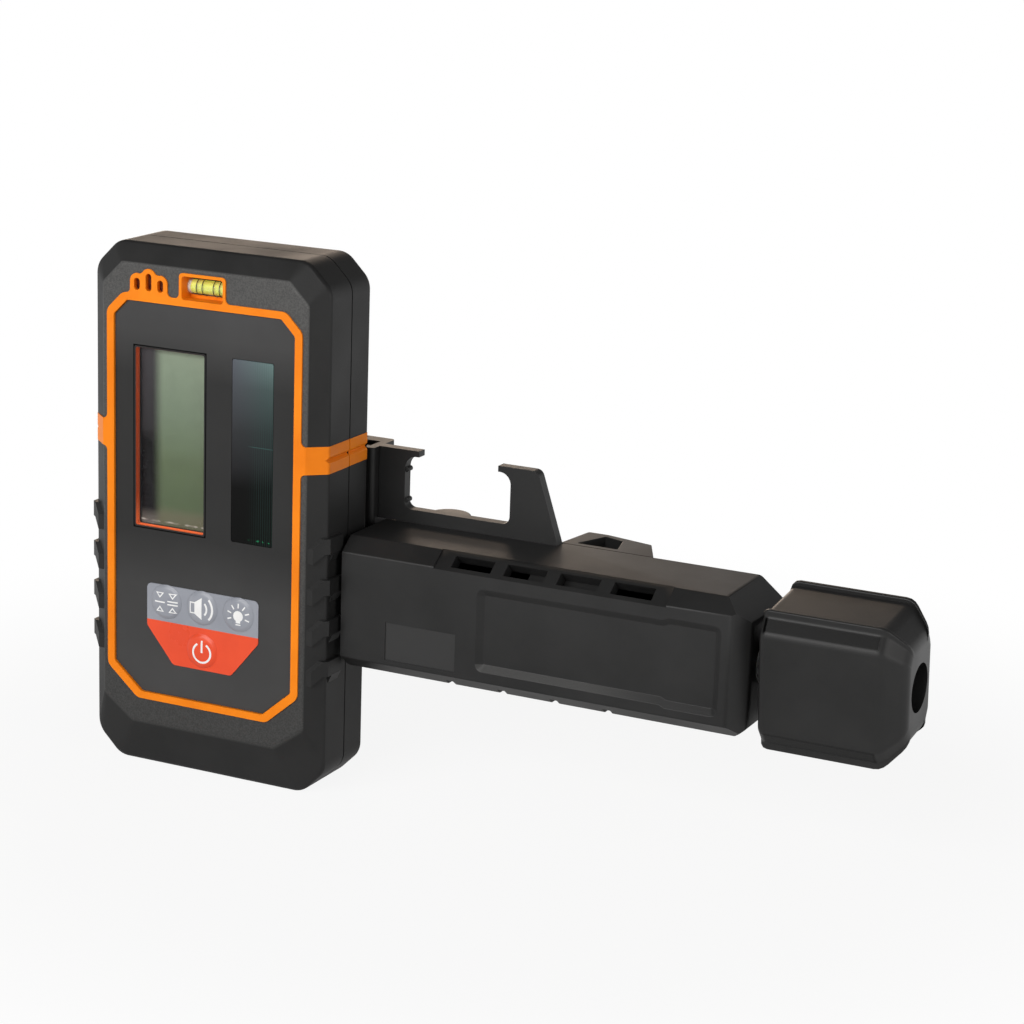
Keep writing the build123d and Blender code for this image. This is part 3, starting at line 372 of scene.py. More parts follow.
def roughAndBump(tree, bsdf, height, mask, look):
    rough = addNode(tree, "ShaderNodeMapRange", [("Value", mask)],
                    in_To_Min=look["rough"][0], in_To_Max=look["rough"][1])
    tree.links.new(rough.outputs["Result"], bsdf.inputs["Roughness"])
    bump = addNode(tree, "ShaderNodeBump", [("Height", height)],
                   in_Strength=look["bump"], in_Distance=look["depth"])
    tree.links.new(bump.outputs["Normal"], bsdf.inputs["Normal"])
    if "specular" in look:
        bsdf.inputs["Specular IOR Level"].default_value = look["specular"]


def mouldedPlastic(name, look):
    mat, tree, bsdf, where = startMaterial(name)
    height, cloud = skinOf(tree, where, look)
    tree.links.new(mixColours(tree, cloud, *look["colours"]), bsdf.inputs["Base Color"])
    roughAndBump(tree, bsdf, height, cloud, look)
    return mat


def rubbedMetal(name, look):
    mat, tree, bsdf, where = startMaterial(name)
    group = addNode(tree, "ShaderNodeGroup", node_tree=rubMarks)
    tree.links.new(where, group.inputs["Vector"])
    group.inputs["Scale"].default_value = look["scale"]
    group.inputs["Stretch"].default_value = look["stretch"]
    marks = group.outputs["Marks"]
    tree.links.new(mixColours(tree, marks, *look["colours"]), bsdf.inputs["Base Color"])
    roughAndBump(tree, bsdf, marks, marks, look)
    bsdf.inputs["Metallic"].default_value = 1.0
    return mat


plasticLooks = {
    "trim_orange": dict(name="trimOrangeSkin", colours=((0.84, 0.205, 0.004), (0.93, 0.250, 0.006)),
                        grain=3000, cloud=55, rough=(0.38, 0.48), bump=0.12, depth=0.00004, specular=0.20),
    "keypad_grey": dict(name="keypadGreySkin", colours=((0.265, 0.28, 0.32), (0.30, 0.315, 0.355)),
                        grain=4200, cloud=70, rough=(0.26, 0.34), bump=0.08, depth=0.00002, specular=0.35),
    "keypad_red": dict(name="keypadRedSkin", colours=((0.74, 0.066, 0.020), (0.81, 0.080, 0.025)),
                       grain=4200, cloud=70, rough=(0.26, 0.34), bump=0.08, depth=0.00002, specular=0.35),
    "white_plastic": dict(name="whitePlasticSkin", colours=((0.72, 0.73, 0.72), (0.80, 0.81, 0.80)),
                          grain=3000, cloud=80, rough=(0.35, 0.5), bump=0.10, depth=0.00003, specular=0.4),
    "switch_black": dict(name="switchBlackSkin", colours=(grey(0.015), grey(0.03)), grain=3000, cloud=80,
                         rough=(0.35, 0.5), bump=0.12, depth=0.00003, specular=0.3),
    "seal_black": dict(name="sealBlackSkin", colours=(grey(0.006), grey(0.012)), grain=1800, cloud=60,
                       rough=(0.75, 0.88), bump=0.3, depth=0.00006, specular=0.15),
    "sensor_dark": dict(name="diodeEpoxy", colours=((0.012, 0.014, 0.02), (0.02, 0.024, 0.034)), grain=2400,
                        cloud=150, rough=(0.08, 0.16), bump=0.05, depth=0.00002, specular=0.4),
    "icon_white": dict(name="keyPrint", colours=(grey(0.80), grey(0.86)), grain=5000, cloud=200,
                       rough=(0.45, 0.55), bump=0.06, depth=0.00001, specular=0.3),
    "vial_line": dict(name="vialLine", colours=(grey(0.006), grey(0.012)), grain=5000, cloud=200,
                      rough=(0.4, 0.55), bump=0.05, depth=0.00001, specular=0.3),
    # the slot strips' dark red-brown is painted shade of the orange slot walls
    "gauze": dict(name="grilleGauze", colours=((0.055, 0.008, 0.004), (0.150, 0.026, 0.010)), grain=3800,
                  cloud=900, rough=(0.55, 0.7), bump=0.5, depth=0.00010, specular=0.2),
}
metalLooks = {
    "steel": dict(name="steelRubbed", colours=((0.40, 0.41, 0.42), (0.56, 0.57, 0.58)), scale=900,
                  stretch=0.08, rough=(0.22, 0.42), bump=0.08, depth=0.00003),
    "clip_black": dict(name="clipBlackRubbed", colours=((0.020, 0.020, 0.021), (0.045, 0.045, 0.046)),
                       scale=900, stretch=0.3, rough=(0.40, 0.55), bump=0.08, depth=0.00003),
    "brass": dict(name="brassRubbed", colours=((0.62, 0.42, 0.16), (0.76, 0.56, 0.25)), scale=700,
                  stretch=0.1, rough=(0.24, 0.42), bump=0.08, depth=0.00003),
}

caseLook = dict(smooth=(grey(0.013), grey(0.020)), sand=((0.056, 0.056, 0.055), (0.086, 0.086, 0.084)),
                sandDetail=2.0, speckle=(0.28, 0.72), face=(0.15, 0.50), rise=(20.0, 140.0), lowShare=0.60,
                grain=2400, cloud=45, rough=(0.44, 0.56), bump=0.24, depth=0.00006, specular=0.22)


def caseSkin(look):
    # black moulding whose flat front face is spark-eroded to a paler sandy grain, darker towards the foot
    mat, tree, bsdf, where = startMaterial("caseSkin")
    height, cloud = skinOf(tree, where, look)
    speckle = fade(tree, noiseOf(tree, where, look["grain"], look["sandDetail"]), *look["speckle"])
    sandy = scaleColour(tree, mixColours(tree, speckle, *look["sand"]),
                        fadeAlong(tree, where, "Z", *look["rise"], low=look["lowShare"]))
    plain = mixColours(tree, cloud, *look["smooth"])
    face = fadeAlong(tree, where, "Y", *look["face"])
    tree.links.new(mixColours(tree, face, sandy, plain), bsdf.inputs["Base Color"])
    roughAndBump(tree, bsdf, height, cloud, look)
    return mat


panelLook = dict(
    grain=5200, cloud=26, rough=(0.40, 0.50), bump=0.10, depth=0.00002, specular=0.18, rise=(24.0, 143.0),
    tones=((0.0, grey(0.054)), (1.0, (0.054, 0.054, 0.055)), (0.28, grey(0.046)), (0.42, grey(0.022)),
           (0.82, grey(0.022)), (0.93, grey(0.050))),
    cloudy=(0.90, 1.06), windowX=(-24.0, 0.5), windowZ=(75.2, 130.0), rim=0.35, rimTone=grey(0.003))


def panelSkin(look):
    # satin film over the front, paler above and below the windows, dark at the rim of the display
    mat, tree, bsdf, where = startMaterial("panelSkin")
    height, cloud = skinOf(tree, where, look)
    rise = fadeAlong(tree, where, "Z", *look["rise"], curve="LINEAR")
    tone = scaleColour(tree, rampOf(tree, rise, look["tones"]), fade(tree, cloud, 0.0, 1.0, *look["cloudy"]))
    sides = []
    for axis in "XZ":
        low, high = look["window" + axis]
        sides.append(between(tree, where, axis, (low - look["rim"], high + look["rim"])))
    rim = multiply(tree, *sides)
    tree.links.new(mixColours(tree, rim, tone, look["rimTone"]), bsdf.inputs["Base Color"])
    tree.links.new(rim, bsdf.inputs["Metallic"])  # a dark metal has no sheen
    roughAndBump(tree, bsdf, height, cloud, look)
    return mat


# the paler tone on the recess's lower slope is a painted highlight, laid over its grain
clampLook = dict(colours=(grey(0.013), grey(0.019)), grain=3600, cloud=38, rough=(0.38, 0.48), bump=0.16,
                 depth=0.00004, specular=0.24, patch=grey(0.030), patchX=(56.8, 79.6), patchY=(-10.0, 9.6),
                 patchZ=(44.5, 55.9), sandedSlopeHighlight=(0.046, 0.046, 0.045), slopeX=(146.0, 118.0),
                 slopeY=(9.03, 10.37), slopeZ=(45.3, 48.1), slopeGrain=(0.5, 1.1, 0.75, 1.0))


def clampSkin(look):
    # satin black moulding, with a plain paler patch, and a painted highlight over the grainy lower slope of
    # the recess sunk in the arm's front, fading out towards its right end
    mat, tree, bsdf, where = startMaterial("clampSkin")
    height, cloud = skinOf(tree, where, look)
    patch = multiply(tree, *(between(tree, where, axis, look["patch" + axis]) for axis in "XZY"))
    slope = multiply(tree, *(between(tree, where, axis, look["slope" + axis]) for axis in "ZY"),
                     fadeAlong(tree, where, "X", *look["slopeX"]), fade(tree, height, *look["slopeGrain"]))
    plain = mixColours(tree, cloud, *look["colours"])
    # painted highlight: the lower slope of the recess is painted paler, as where it catches light from above
    plain = mixColours(tree, slope, plain, look["sandedSlopeHighlight"])
    tree.links.new(mixColours(tree, patch, plain, look["patch"]), bsdf.inputs["Base Color"])
    roughAndBump(tree, bsdf, height, cloud, look)
    return mat


# the near-black cove tone is painted shade
knobLook = dict(colours=(grey(0.013), grey(0.019)), grain=3600, cloud=38, rough=(0.36, 0.46), bump=0.14,
                depth=0.00004, specular=0.24, cove=grey(0.006), coveRough=0.24, axis=(24.2, 59.0), turn=6.0,
                coveRise=(14.3, 15.6), crestRise=(18.9, 18.2), coveDepth=(11.8, 12.2),
                ends=((172.9, 173.5), (206.6, 205.6)))


def knobSkin(look):
    # the same moulding, with painted shade in the long coves beside the faces: near-black and polished, with
    # metallic only to cut their sheen
    mat, tree, bsdf, where = startMaterial("knobSkin")
    height, cloud = skinOf(tree, where, look)
    middle = at(0, *look["axis"])
    upright = addNode(tree, "ShaderNodeVectorRotate", [("Vector", where)], rotation_type="X_AXIS",
                      in_Angle=-math.radians(look["turn"]), in_Center=(0, middle.y, middle.z)).outputs[0]
    away = distanceTo(tree, axisOf(tree, upright, "Y"), middle.y)
    rise = distanceTo(tree, axisOf(tree, upright, "Z"), middle.z)
    cove = multiply(tree, fade(tree, rise, *inMetres(look["coveRise"])),
                    fade(tree, rise, *inMetres(look["crestRise"])),
                    fade(tree, away, *inMetres(look["coveDepth"])),
                    *(fadeAlong(tree, where, "X", *end) for end in look["ends"]))
    plain = mixColours(tree, cloud, *look["colours"])
    # painted shade: the long coves are made near-black
    tree.links.new(mixColours(tree, cove, plain, look["cove"]), bsdf.inputs["Base Color"])
    tree.links.new(cove, bsdf.inputs["Metallic"])  # metallic only cuts the sheen, so the painted shade stays near-black
    roughAndBump(tree, bsdf, height, cloud, look)
    rough = bsdf.inputs["Roughness"].links[0].from_socket
    polished = addNode(tree, "ShaderNodeMix", [(0, cove), (2, rough)])
    polished.inputs[3].default_value = look["coveRough"]
    tree.links.new(polished.outputs[0], bsdf.inputs["Roughness"])
    return mat


# dark is painted shade, the paler foot colour painted light, and the glow painted light too
linerLook = dict(colours=((0.42, 0.064, 0.018), (0.80, 0.155, 0.040)), dark=(0.010, 0.009, 0.009),
                 front=(0.32, 0.46), back=(2.1, 1.8), foot=(86.0, 76.0), cloudy=(0.85, 1.0), grain=2600,
                 cloud=120, rough=(0.35, 0.5), bump=0.10, depth=0.00004, specular=0.3, paintedGlow=0.22)


def displayLiner(look):
    # red liner round the display with painted light and shade: dark at its front edge and deep inside, lit
    # between, paler towards the foot, and glowing a little
    mat, tree, bsdf, where = startMaterial("displayLiner")
    height, cloud = skinOf(tree, where, look)
    # painted light: the liner is paler towards the foot
    paintedFootLight = multiply(tree, fadeAlong(tree, where, "Z", *look["foot"]),
                      fade(tree, cloud, 0.0, 1.0, *look["cloudy"]))
    # painted shade: dark at the front edge and deep inside, painted lit between
    paintedLitBand = multiply(tree, *(fadeAlong(tree, where, "Y", *look[side]) for side in ("front", "back")))
    wall = mixColours(tree, paintedFootLight, *look["colours"])
    # the glow is painted light; the liner is no lamp
    glowAsPaintedLight(tree, bsdf, mixColours(tree, paintedLitBand, look["dark"], wall), look["paintedGlow"])
    roughAndBump(tree, bsdf, height, cloud, look)
    return mat


# the shade ramp is a painted shadow beside the liner, and the pale streak a painted reflection along the
# foot
displayLook = dict(
    rise=(75.2, 130.0), edge=(-19.6, -15.2), streakAt=77.0, streakHalf=0.42, paintedReflectionStreak=(0.62, 0.58, 0.52),
    gaps=(230.0, 2.0), gapFade=(0.42, 0.58), dust=(900.0, 3.0), rough=(0.20, 0.28), specular=0.12,
    green=((0.0, (0.137, 0.141, 0.084)), (1.0, (0.275, 0.342, 0.250)), (0.07, (0.147, 0.151, 0.096)),
           (0.13, (0.100, 0.136, 0.072)), (0.36, (0.122, 0.162, 0.090)), (0.64, (0.192, 0.249, 0.172))),
    shade=((0.0, (0.20, 0.18, 0.16)), (1.0, (0.054, 0.051, 0.056)), (0.055, (0.10, 0.09, 0.08)),
           (0.10, (0.004, 0.003, 0.004)), (0.47, (0.001, 0.001, 0.001)), (0.55, (0.026, 0.024, 0.026)),
           (0.72, (0.034, 0.032, 0.035))))


def liquidCrystal(look):
    # grey-green glass, with a painted shadow beside the liner and a broken painted reflection along its foot
    mat, tree, bsdf, where = startMaterial("displayGlass")
    rise = fadeAlong(tree, where, "Z", *look["rise"], curve="LINEAR")
    # painted shadow: the glass is dark beside the liner, with painted light at the foot of that shadow
    side = fadeAlong(tree, where, "X", *look["edge"])
    body = mixColours(tree, side, rampOf(tree, rise, look["shade"]), rampOf(tree, rise, look["green"]))
    # painted reflection: a broken pale streak along the foot
    paintedReflectionStreak = multiply(tree, bandAt(tree, where, "Z", look["streakAt"], look["streakHalf"]),
                      fade(tree, noiseOf(tree, where, *look["gaps"]), *look["gapFade"]))
    tree.links.new(mixColours(tree, paintedReflectionStreak, body, look["paintedReflectionStreak"]), bsdf.inputs["Base Color"])
    clouded(tree, bsdf, "Roughness", noiseOf(tree, where, *look["dust"]), look["rough"])
    bsdf.inputs["Specular IOR Level"].default_value = look["specular"]
    return mat


# the green glints are painted highlights
sensorLook = dict(
    rise=(75.2, 130.0), across=(9.5, 23.5), haze=(260.0, 4.0), rough=(0.10, 0.17), specular=0.06,
    violet=((0.0, grey(0.004)), (1.0, (0.098, 0.106, 0.126)), (0.30, grey(0.005)),
            (0.42, (0.020, 0.020, 0.022)), (0.60, (0.034, 0.035, 0.038)), (0.85, (0.068, 0.073, 0.084))),
    teal=((0.0, (0.004, 0.005, 0.004)), (1.0, (0.130, 0.196, 0.190)), (0.33, (0.005, 0.006, 0.006)),
          (0.46, (0.018, 0.022, 0.023)), (0.62, (0.026, 0.036, 0.036)), (0.85, (0.060, 0.088, 0.086))),
    lines=(0.030, 0.085, 0.070), lineScale=420.0, lineFade=(0.80, 1.0, 0.0, 0.30), linesFrom=(0.35, 0.7),
    mark=(0.050, 0.120, 0.110), markAt=104.6, markHalf=0.16, markShare=0.7, markFrom=(0.35, 0.55),
    paintedGlint=(0.02, 0.26, 0.11), glintAt=76.6, glintHalf=0.45, glintShare=0.8, glintFrom=(0.35, 0.6),
    spots=(1500.0, 2.0), spotFade=(0.52, 0.66))


def sensorPane(look):
    # dark filter pane with the sensor's fine upright lines and middle mark behind it, and painted green
    # glints near its foot
    mat, tree, bsdf, where = startMaterial("sensorPane")
    rise = fadeAlong(tree, where, "Z", *look["rise"], curve="LINEAR")
    side = fadeAlong(tree, where, "X", *look["across"], curve="LINEAR")
    body = mixColours(tree, side, rampOf(tree, rise, look["violet"]), rampOf(tree, rise, look["teal"]))
    wave = addNode(tree, "ShaderNodeTexWave", [("Vector", where)], wave_type="BANDS", bands_direction="X",
                   in_Scale=look["lineScale"], in_Distortion=0.5, in_Detail=2.0)
    lines = fade(tree, wave.outputs["Fac"], *look["lineFade"])
    mark = bandAt(tree, where, "Z", look["markAt"], look["markHalf"], look["markShare"])
    # painted highlight: green glints near the foot
    paintedGlint = multiply(tree, bandAt(tree, where, "Z", look["glintAt"], look["glintHalf"], look["glintShare"]),
                     fade(tree, noiseOf(tree, where, *look["spots"]), *look["spotFade"]))
    for mask, start, colour in ((lines, "linesFrom", "lines"), (mark, "markFrom", "mark"),
                                (paintedGlint, "glintFrom", "paintedGlint")):
        body = mixColours(tree, multiply(tree, mask, fade(tree, side, *look[start])), body, look[colour])
    tree.links.new(body, bsdf.inputs["Base Color"])
    clouded(tree, bsdf, "Roughness", noiseOf(tree, where, *look["haze"]), look["rough"])
    bsdf.inputs["Specular IOR Level"].default_value = look["specular"]
    return mat


paneLooks = {
    "clear_pane": dict(name="displayPane", tint=((0.08, 0.08, 0.085), (0.12, 0.12, 0.125)),
                       haze=(300.0, 4.0), cover=(0.03, 0.06), rough=(0.08, 0.14)),
    "vial_clear": dict(name="vialAcrylic", tint=((0.80, 0.80, 0.62), (0.90, 0.90, 0.72)),
                       haze=(300.0, 4.0), cover=(0.10, 0.16), rough=(0.03, 0.06)),
}


def clearPane(name, look):
    # thin clear moulding: mostly see-through, so that light reaches what lies behind it
    mat, tree, bsdf, where = startMaterial(name)
    haze = noiseOf(tree, where, *look["haze"])
    tree.links.new(mixColours(tree, haze, *look["tint"]), bsdf.inputs["Base Color"])
    clouded(tree, bsdf, "Alpha", haze, look["cover"])
    clouded(tree, bsdf, "Roughness", haze, look["rough"])
    return mat


# the glow is painted light: the spirit is no lamp
vialLook = dict(deep=(0.50, 0.62, 0.010), pale=(0.82, 0.90, 0.08), rise=(146.6, 151.1), swirl=(700.0, 3.0),
                swirlFade=(0.2, 0.8, 0.8, 1.0), rough=(0.05, 0.12), paintedGlow=0.18)


def vialSpirit(look):
    # yellow-green spirit, paler towards the top, with a little painted glow
    mat, tree, bsdf, where = startMaterial("vialSpirit")
    swirl = noiseOf(tree, where, *look["swirl"])
    tone = multiply(tree, fadeAlong(tree, where, "Z", *look["rise"]),
                    fade(tree, swirl, *look["swirlFade"], "LINEAR"))
    # painted light: the spirit glows a little
    glowAsPaintedLight(tree, bsdf, mixColours(tree, tone, look["deep"], look["pale"]), look["paintedGlow"])
    clouded(tree, bsdf, "Roughness", swirl, look["rough"])
    return mat


boardLook = dict(scale=110.0, gap=0.06, resist=((0.012, 0.085, 0.035, 1), (0.016, 0.105, 0.042, 1)),
                 copper=(0.035, 0.19, 0.07, 1), rough=(0.32, 0.24), bump=0.3, depth=0.00004)


def circuitBoard(look):
    # green solder resist with copper tracks under it
    mat, tree, bsdf, where = startMaterial("circuitBoard")
    tracks = addNode(tree, "ShaderNodeTexBrick", [("Vector", where)], in_Scale=look["scale"],
                     in_Mortar_Size=look["gap"], in_Color1=look["resist"][0], in_Color2=look["resist"][1],
                     in_Mortar=look["copper"])
    tree.links.new(tracks.outputs["Color"], bsdf.inputs["Base Color"])
    tree.links.new(fade(tree, tracks.outputs["Fac"], 0.0, 1.0, *look["rough"]), bsdf.inputs["Roughness"])
    bump = addNode(tree, "ShaderNodeBump", [("Height", tracks.outputs["Fac"])],
                   in_Strength=look["bump"], in_Distance=look["depth"])
    tree.links.new(bump.outputs["Normal"], bsdf.inputs["Normal"])
    return mat


cellLook = dict(sleeve=(0.035, 0.06, 0.12), band=(0.45, 0.46, 0.47), cap=(0.55, 0.55, 0.54),
                bandFrom=(17.45, 17.55), capFrom=(23.6, 23.7), film=(400.0, 3.0), rough=(0.22, 0.34))


def cellSleeve(look):
    # shrink sleeve with a plain silver band, and bare metal at the ends
    mat, tree, bsdf, where = startMaterial("cellSleeve")
    away = distanceTo(tree, axisOf(tree, where, "X"), placeOn("X", 0))
    banded = mixColours(tree, fade(tree, away, *inMetres(look["bandFrom"])), look["sleeve"], look["band"])
    bare = fade(tree, away, *inMetres(look["capFrom"]))
    tree.links.new(mixColours(tree, bare, banded, look["cap"]), bsdf.inputs["Base Color"])
    tree.links.new(bare, bsdf.inputs["Metallic"])
    clouded(tree, bsdf, "Roughness", noiseOf(tree, where, *look["film"]), look["rough"])
    return mat


finishes = {
    "case_black": caseSkin(caseLook),
    "panel_grey": panelSkin(panelLook),
    "clamp_black": clampSkin(clampLook),
    "knob_black": knobSkin(knobLook),
    "display_red": displayLiner(linerLook),
    "display_green": liquidCrystal(displayLook),
    "dark_pane": sensorPane(sensorLook),
    "vial_green": vialSpirit(vialLook),
    "board_green": circuitBoard(boardLook),
    "cell_wrap": cellSleeve(cellLook),
}
for make, looks in ((mouldedPlastic, plasticLooks), (rubbedMetal, metalLooks), (clearPane, paneLooks)):
    for slot, look in looks.items():
        finishes[slot] = make(look["name"], look)
print("finishes ready:", len(finishes))

slotOf = {}
for nodeName, obj in nodes.items():
    slotOf[nodeName] = obj.material_slots[0].material.name.split(".")[0]
    obj.data.materials.clear()
    obj.data.materials.append(finishes[slotOf[nodeName]])
nodes["retaining_clip"].data.materials[0] = finishes["clip_black"]
print("finishes on the CAD nodes")


# Softened copies of the moulded nodes that show sharp edges

softening = dict(segments=3, flat=0.4, smooth=38, weight=80)
armRecess = dict(x=(86.0, 161.1), z=(45.2, 71.8), depths=(9.0, 10.4), slack=0.02)
softEdges = {
    "trim_ring": dict(name="trimRing", body="receiver", width=0.42, turn=28),
    "rear_bands": dict(name="rearBands", body="receiver", width=0.20, turn=32),
    "arm_housing": dict(name="armHousing", body="clamp", width=0.35, only=armRecess),
    "back_plate": dict(name="readingPlate", body="clamp", width=0.45, turn=30),
    "tray": dict(name="receiverTray", body="clamp", width=0.45, turn=30),
    "fixed_jaw": dict(name="fixedJaw", body="clamp", width=0.30, turn=30),
    "moving_jaw": dict(name="movingJaw", body="jaw", width=0.40, turn=30),
    "mount_rail": dict(name="mountRail", body="receiver", width=0.30, turn=30),
    "battery_door": dict(name="batteryDoor", body="door", width=0.25, turn=30),
    "knob": dict(name="grippedKnob", body="drive", width=0.25, turn=40, finish="knob_black"),
}


def markEdges(obj, zone):
    # weights the edges that lie in the zone at one of its depths
    low = at(zone["x"][0], 0, zone["z"][0])
    high = at(zone["x"][1], 0, zone["z"][1])
    depths = [placeOn("Y", depth) for depth in zone["depths"]]
    slack = zone["slack"] * mm
    weights = obj.data.attributes.new("bevel_weight_edge", "FLOAT", "EDGE")
    for edge in obj.data.edges:
        ends = [obj.data.vertices[index].co for index in edge.vertices]
        flat = any(all(abs(co.y - depth) < slack for co in ends) for depth in depths)
        within = all(low.x < co.x < high.x and low.z < co.z < high.z for co in ends)
        weights.data[edge.index].value = 1.0 if flat and within else 0.0


def softCopy(nodeName, look):
    obj = twinOf(nodes[nodeName])
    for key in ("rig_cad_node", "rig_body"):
        del obj[key]
    obj.parent = None
    editAll(obj)
    bpy.ops.mesh.remove_doubles(threshold=touching)
    bpy.ops.mesh.customdata_custom_splitnormals_clear()
    bpy.ops.mesh.dissolve_limited(angle_limit=math.radians(softening["flat"]))
    leaveEdit()
    bevel = dict(width=look["width"] * mm, segments=softening["segments"], use_clamp_overlap=True)
    if "only" in look:
        markEdges(obj, look["only"])
        addModifier(obj, "BEVEL", limit_method="WEIGHT", **bevel)
    else:
        addModifier(obj, "BEVEL", limit_method="ANGLE", angle_limit=math.radians(look["turn"]),
                    miter_outer="MITER_ARC", **bevel)
    settle(obj, look["name"], look["body"], slotOf[nodeName], look.get("finish"), softening["smooth"])
    addModifier(obj, "WEIGHTED_NORMAL", keep_sharp=True, weight=softening["weight"])
    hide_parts(nodeName)


for nodeName, look in softEdges.items():
    softCopy(nodeName, look)
print("softened copies:", len(softEdges))


# Lead screw with a real left-hand thread, so that turning the knob clockwise closes the jaw

leadScrew = dict(left=43.8, right=190.1, depth=24.2, height=59.0, threadFrom=51.0, threadTo=156.5, lead=5.0,
                 crest=3.95, root=3.05, crestShare=0.36, rootShare=0.34, steps=36, spareTurns=3, overlap=0.2,
                 merge=2e-6, shaft=4.0, sides=48, chamfer=0.5, bore=2.02, boreDepth=10.0)


def addRod(left, right, radius, look):
    # a round bar along X, chamfered at both ends
    middle = at((left + right) / 2, look["depth"], look["height"])
    rod = newShape(bpy.ops.mesh.primitive_cylinder_add, vertices=look["sides"], radius=radius * mm,
                   depth=(right - left) * mm, location=middle, rotation=(0, quarterTurn, 0))
    applyPlace()
    ends = (placeOn("X", left), placeOn("X", right))
    selectFaces(rod, lambda face: min(abs(face.center.x - end) for end in ends) < touching)
    bpy.ops.mesh.bevel(offset=look["chamfer"] * mm, segments=2)
    leaveEdit()
    return rod


def buildLeadScrew(look):
    lead = look["lead"]
    flank = lead * (1 - look["crestShare"] - look["rootShare"]) / 2 * mm
    rise = (look["crest"] - look["root"]) * mm
    tooth = ((look["rootShare"] * lead * mm, 0, 0), (flank, 0, rise),
             (look["crestShare"] * lead * mm, 0, 0), (flank, 0, -rise))
    thread = drawProfile((0, 0, look["root"] * mm), tooth)
    leaveEdit()
    turns = int((look["threadTo"] - look["threadFrom"]) / lead) + look["spareTurns"]
    addModifier(thread, "SCREW", axis="X", angle=-2 * math.pi, screw_offset=lead * mm, iterations=turns,
                steps=look["steps"], render_steps=look["steps"], use_normal_calculate=True)
    thread.location = at(look["threadFrom"] - look["spareTurns"] / 2 * lead, look["depth"], look["height"])
    applyPlace()
    editAll(thread)
    bpy.ops.mesh.remove_doubles(threshold=look["merge"])
    for end, way in ((look["threadFrom"] - look["overlap"], -1), (look["threadTo"] + look["overlap"], 1)):
        bpy.ops.mesh.select_all(action="SELECT")
        bpy.ops.mesh.bisect(plane_co=at(end, 0, 0), plane_no=(way, 0, 0), use_fill=True, clear_outer=True)
    faceOutwards()
    tail = addRod(look["left"], look["threadFrom"], look["shaft"], look)
    head = addRod(look["threadTo"], look["right"], look["shaft"], look)
    selectEnd(head, "X", placeOn("X", look["right"]), 1)
    bpy.ops.mesh.inset(thickness=(look["shaft"] - look["chamfer"] - look["bore"]) * mm)
    extrudeBy(-look["boreDepth"] * mm, 0, 0)
    leaveEdit()
    screw = join([thread, tail, head])
    settle(screw, "leadScrewThread", "drive", "steel")
    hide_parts("lead_screw")


buildLeadScrew(leadScrew)
print("lead screw threaded")


# Screws: pan heads with a cross recess, and a hex-socket screw that holds the knob

screwHead = dict(sides=40, radius=2.3, thick=1.6, crown=0.4, blade=0.62, reach=1.45, deep=1.0, over=0.2,
                 taper=0.55, shank=1.25)
screwSets = {
    "case_screws": dict(name="caseScrewSet", body="receiver", seat=29.4, tip=9.6,
                        places=((-32.1, 24.0), (32.1, 24.0), (-32.1, 141.0), (32.1, 141.0))),
    "rail_screws": dict(name="railScrewSet", body="receiver", seat=39.3, tip=14.3,
                        places=((-20.0, 52.6), (20.0, 52.6), (-20.0, 82.6), (20.0, 82.6))),
    "arm_screws": dict(name="armScrewSet", body="clamp", seat=37.5, tip=24.2,
                       places=((66.3, 45.0), (66.3, 73.0), (157.8, 45.0), (157.8, 73.0))),
    "carriage_screws": dict(name="carriageScrewSet", body="jaw", seat=47.7, tip=31.5,
                            places=((110.15, 53.7), (110.15, 64.3))),
}


def crossBlade(look, top, turn):
    # one tapered arm of the cross, a little proud of the head that it cuts
    blade = newShape(bpy.ops.mesh.primitive_cube_add, size=1,
                     location=(0, (top - (look["deep"] - look["over"]) / 2) * mm, 0))
    blade.scale = (2 * look["reach"] * mm, (look["deep"] + look["over"]) * mm, look["blade"] * mm)
    applyPlace()
    selectFaces(blade, lambda face: face.normal.y < -facing)
    bpy.ops.transform.resize(value=(look["taper"], 1, look["taper"]))
    leaveEdit()
    blade.rotation_euler = (0, turn, 0)
    applyPlace()
    return blade


def buildPanScrew(look, seat, tip):
    top = seat + look["thick"]
    screw = newShape(bpy.ops.mesh.primitive_cylinder_add, vertices=look["sides"], radius=look["radius"] * mm,
                     depth=look["thick"] * mm, location=(0, (seat + look["thick"] / 2) * mm, 0),
                     rotation=(-quarterTurn, 0, 0))
    applyPlace()
    selectEnd(screw, "Y", top * mm, 1)
    bpy.ops.mesh.bevel(offset=look["crown"] * mm, segments=4)
    leaveEdit()
    selectEnd(screw, "Y", seat * mm, -1)
    bpy.ops.mesh.inset(thickness=(look["radius"] - look["shank"]) * mm)
    extrudeBy(0, (tip - seat) * mm, 0)
    leaveEdit()
    for turn in (0, quarterTurn):
        cutWith(screw, crossBlade(look, top, turn))
    return screw


def copyTo(obj, places):
    # one copy at each place, joined, and the first one goes
    copies = []
    for place in places:
        twin = twinOf(obj)
        twin.location = place
        copies.append(twin)
    bpy.data.objects.remove(obj)
    return join(copies)


for nodeName, look in screwSets.items():
    screw = buildPanScrew(screwHead, look["seat"], look["tip"])
    group = copyTo(screw, [at(x, 0, z) for x, z in look["places"]])
    settle(group, look["name"], look["body"], "steel")
    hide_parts(nodeName)

knobScrew = dict(left=180.4, seat=201.4, right=204.4, depth=24.2, height=59.0, sides=48, head=3.6, shank=2.0,
                 chamfer=0.4, socket=1.75, socketDepth=1.7, over=0.2)


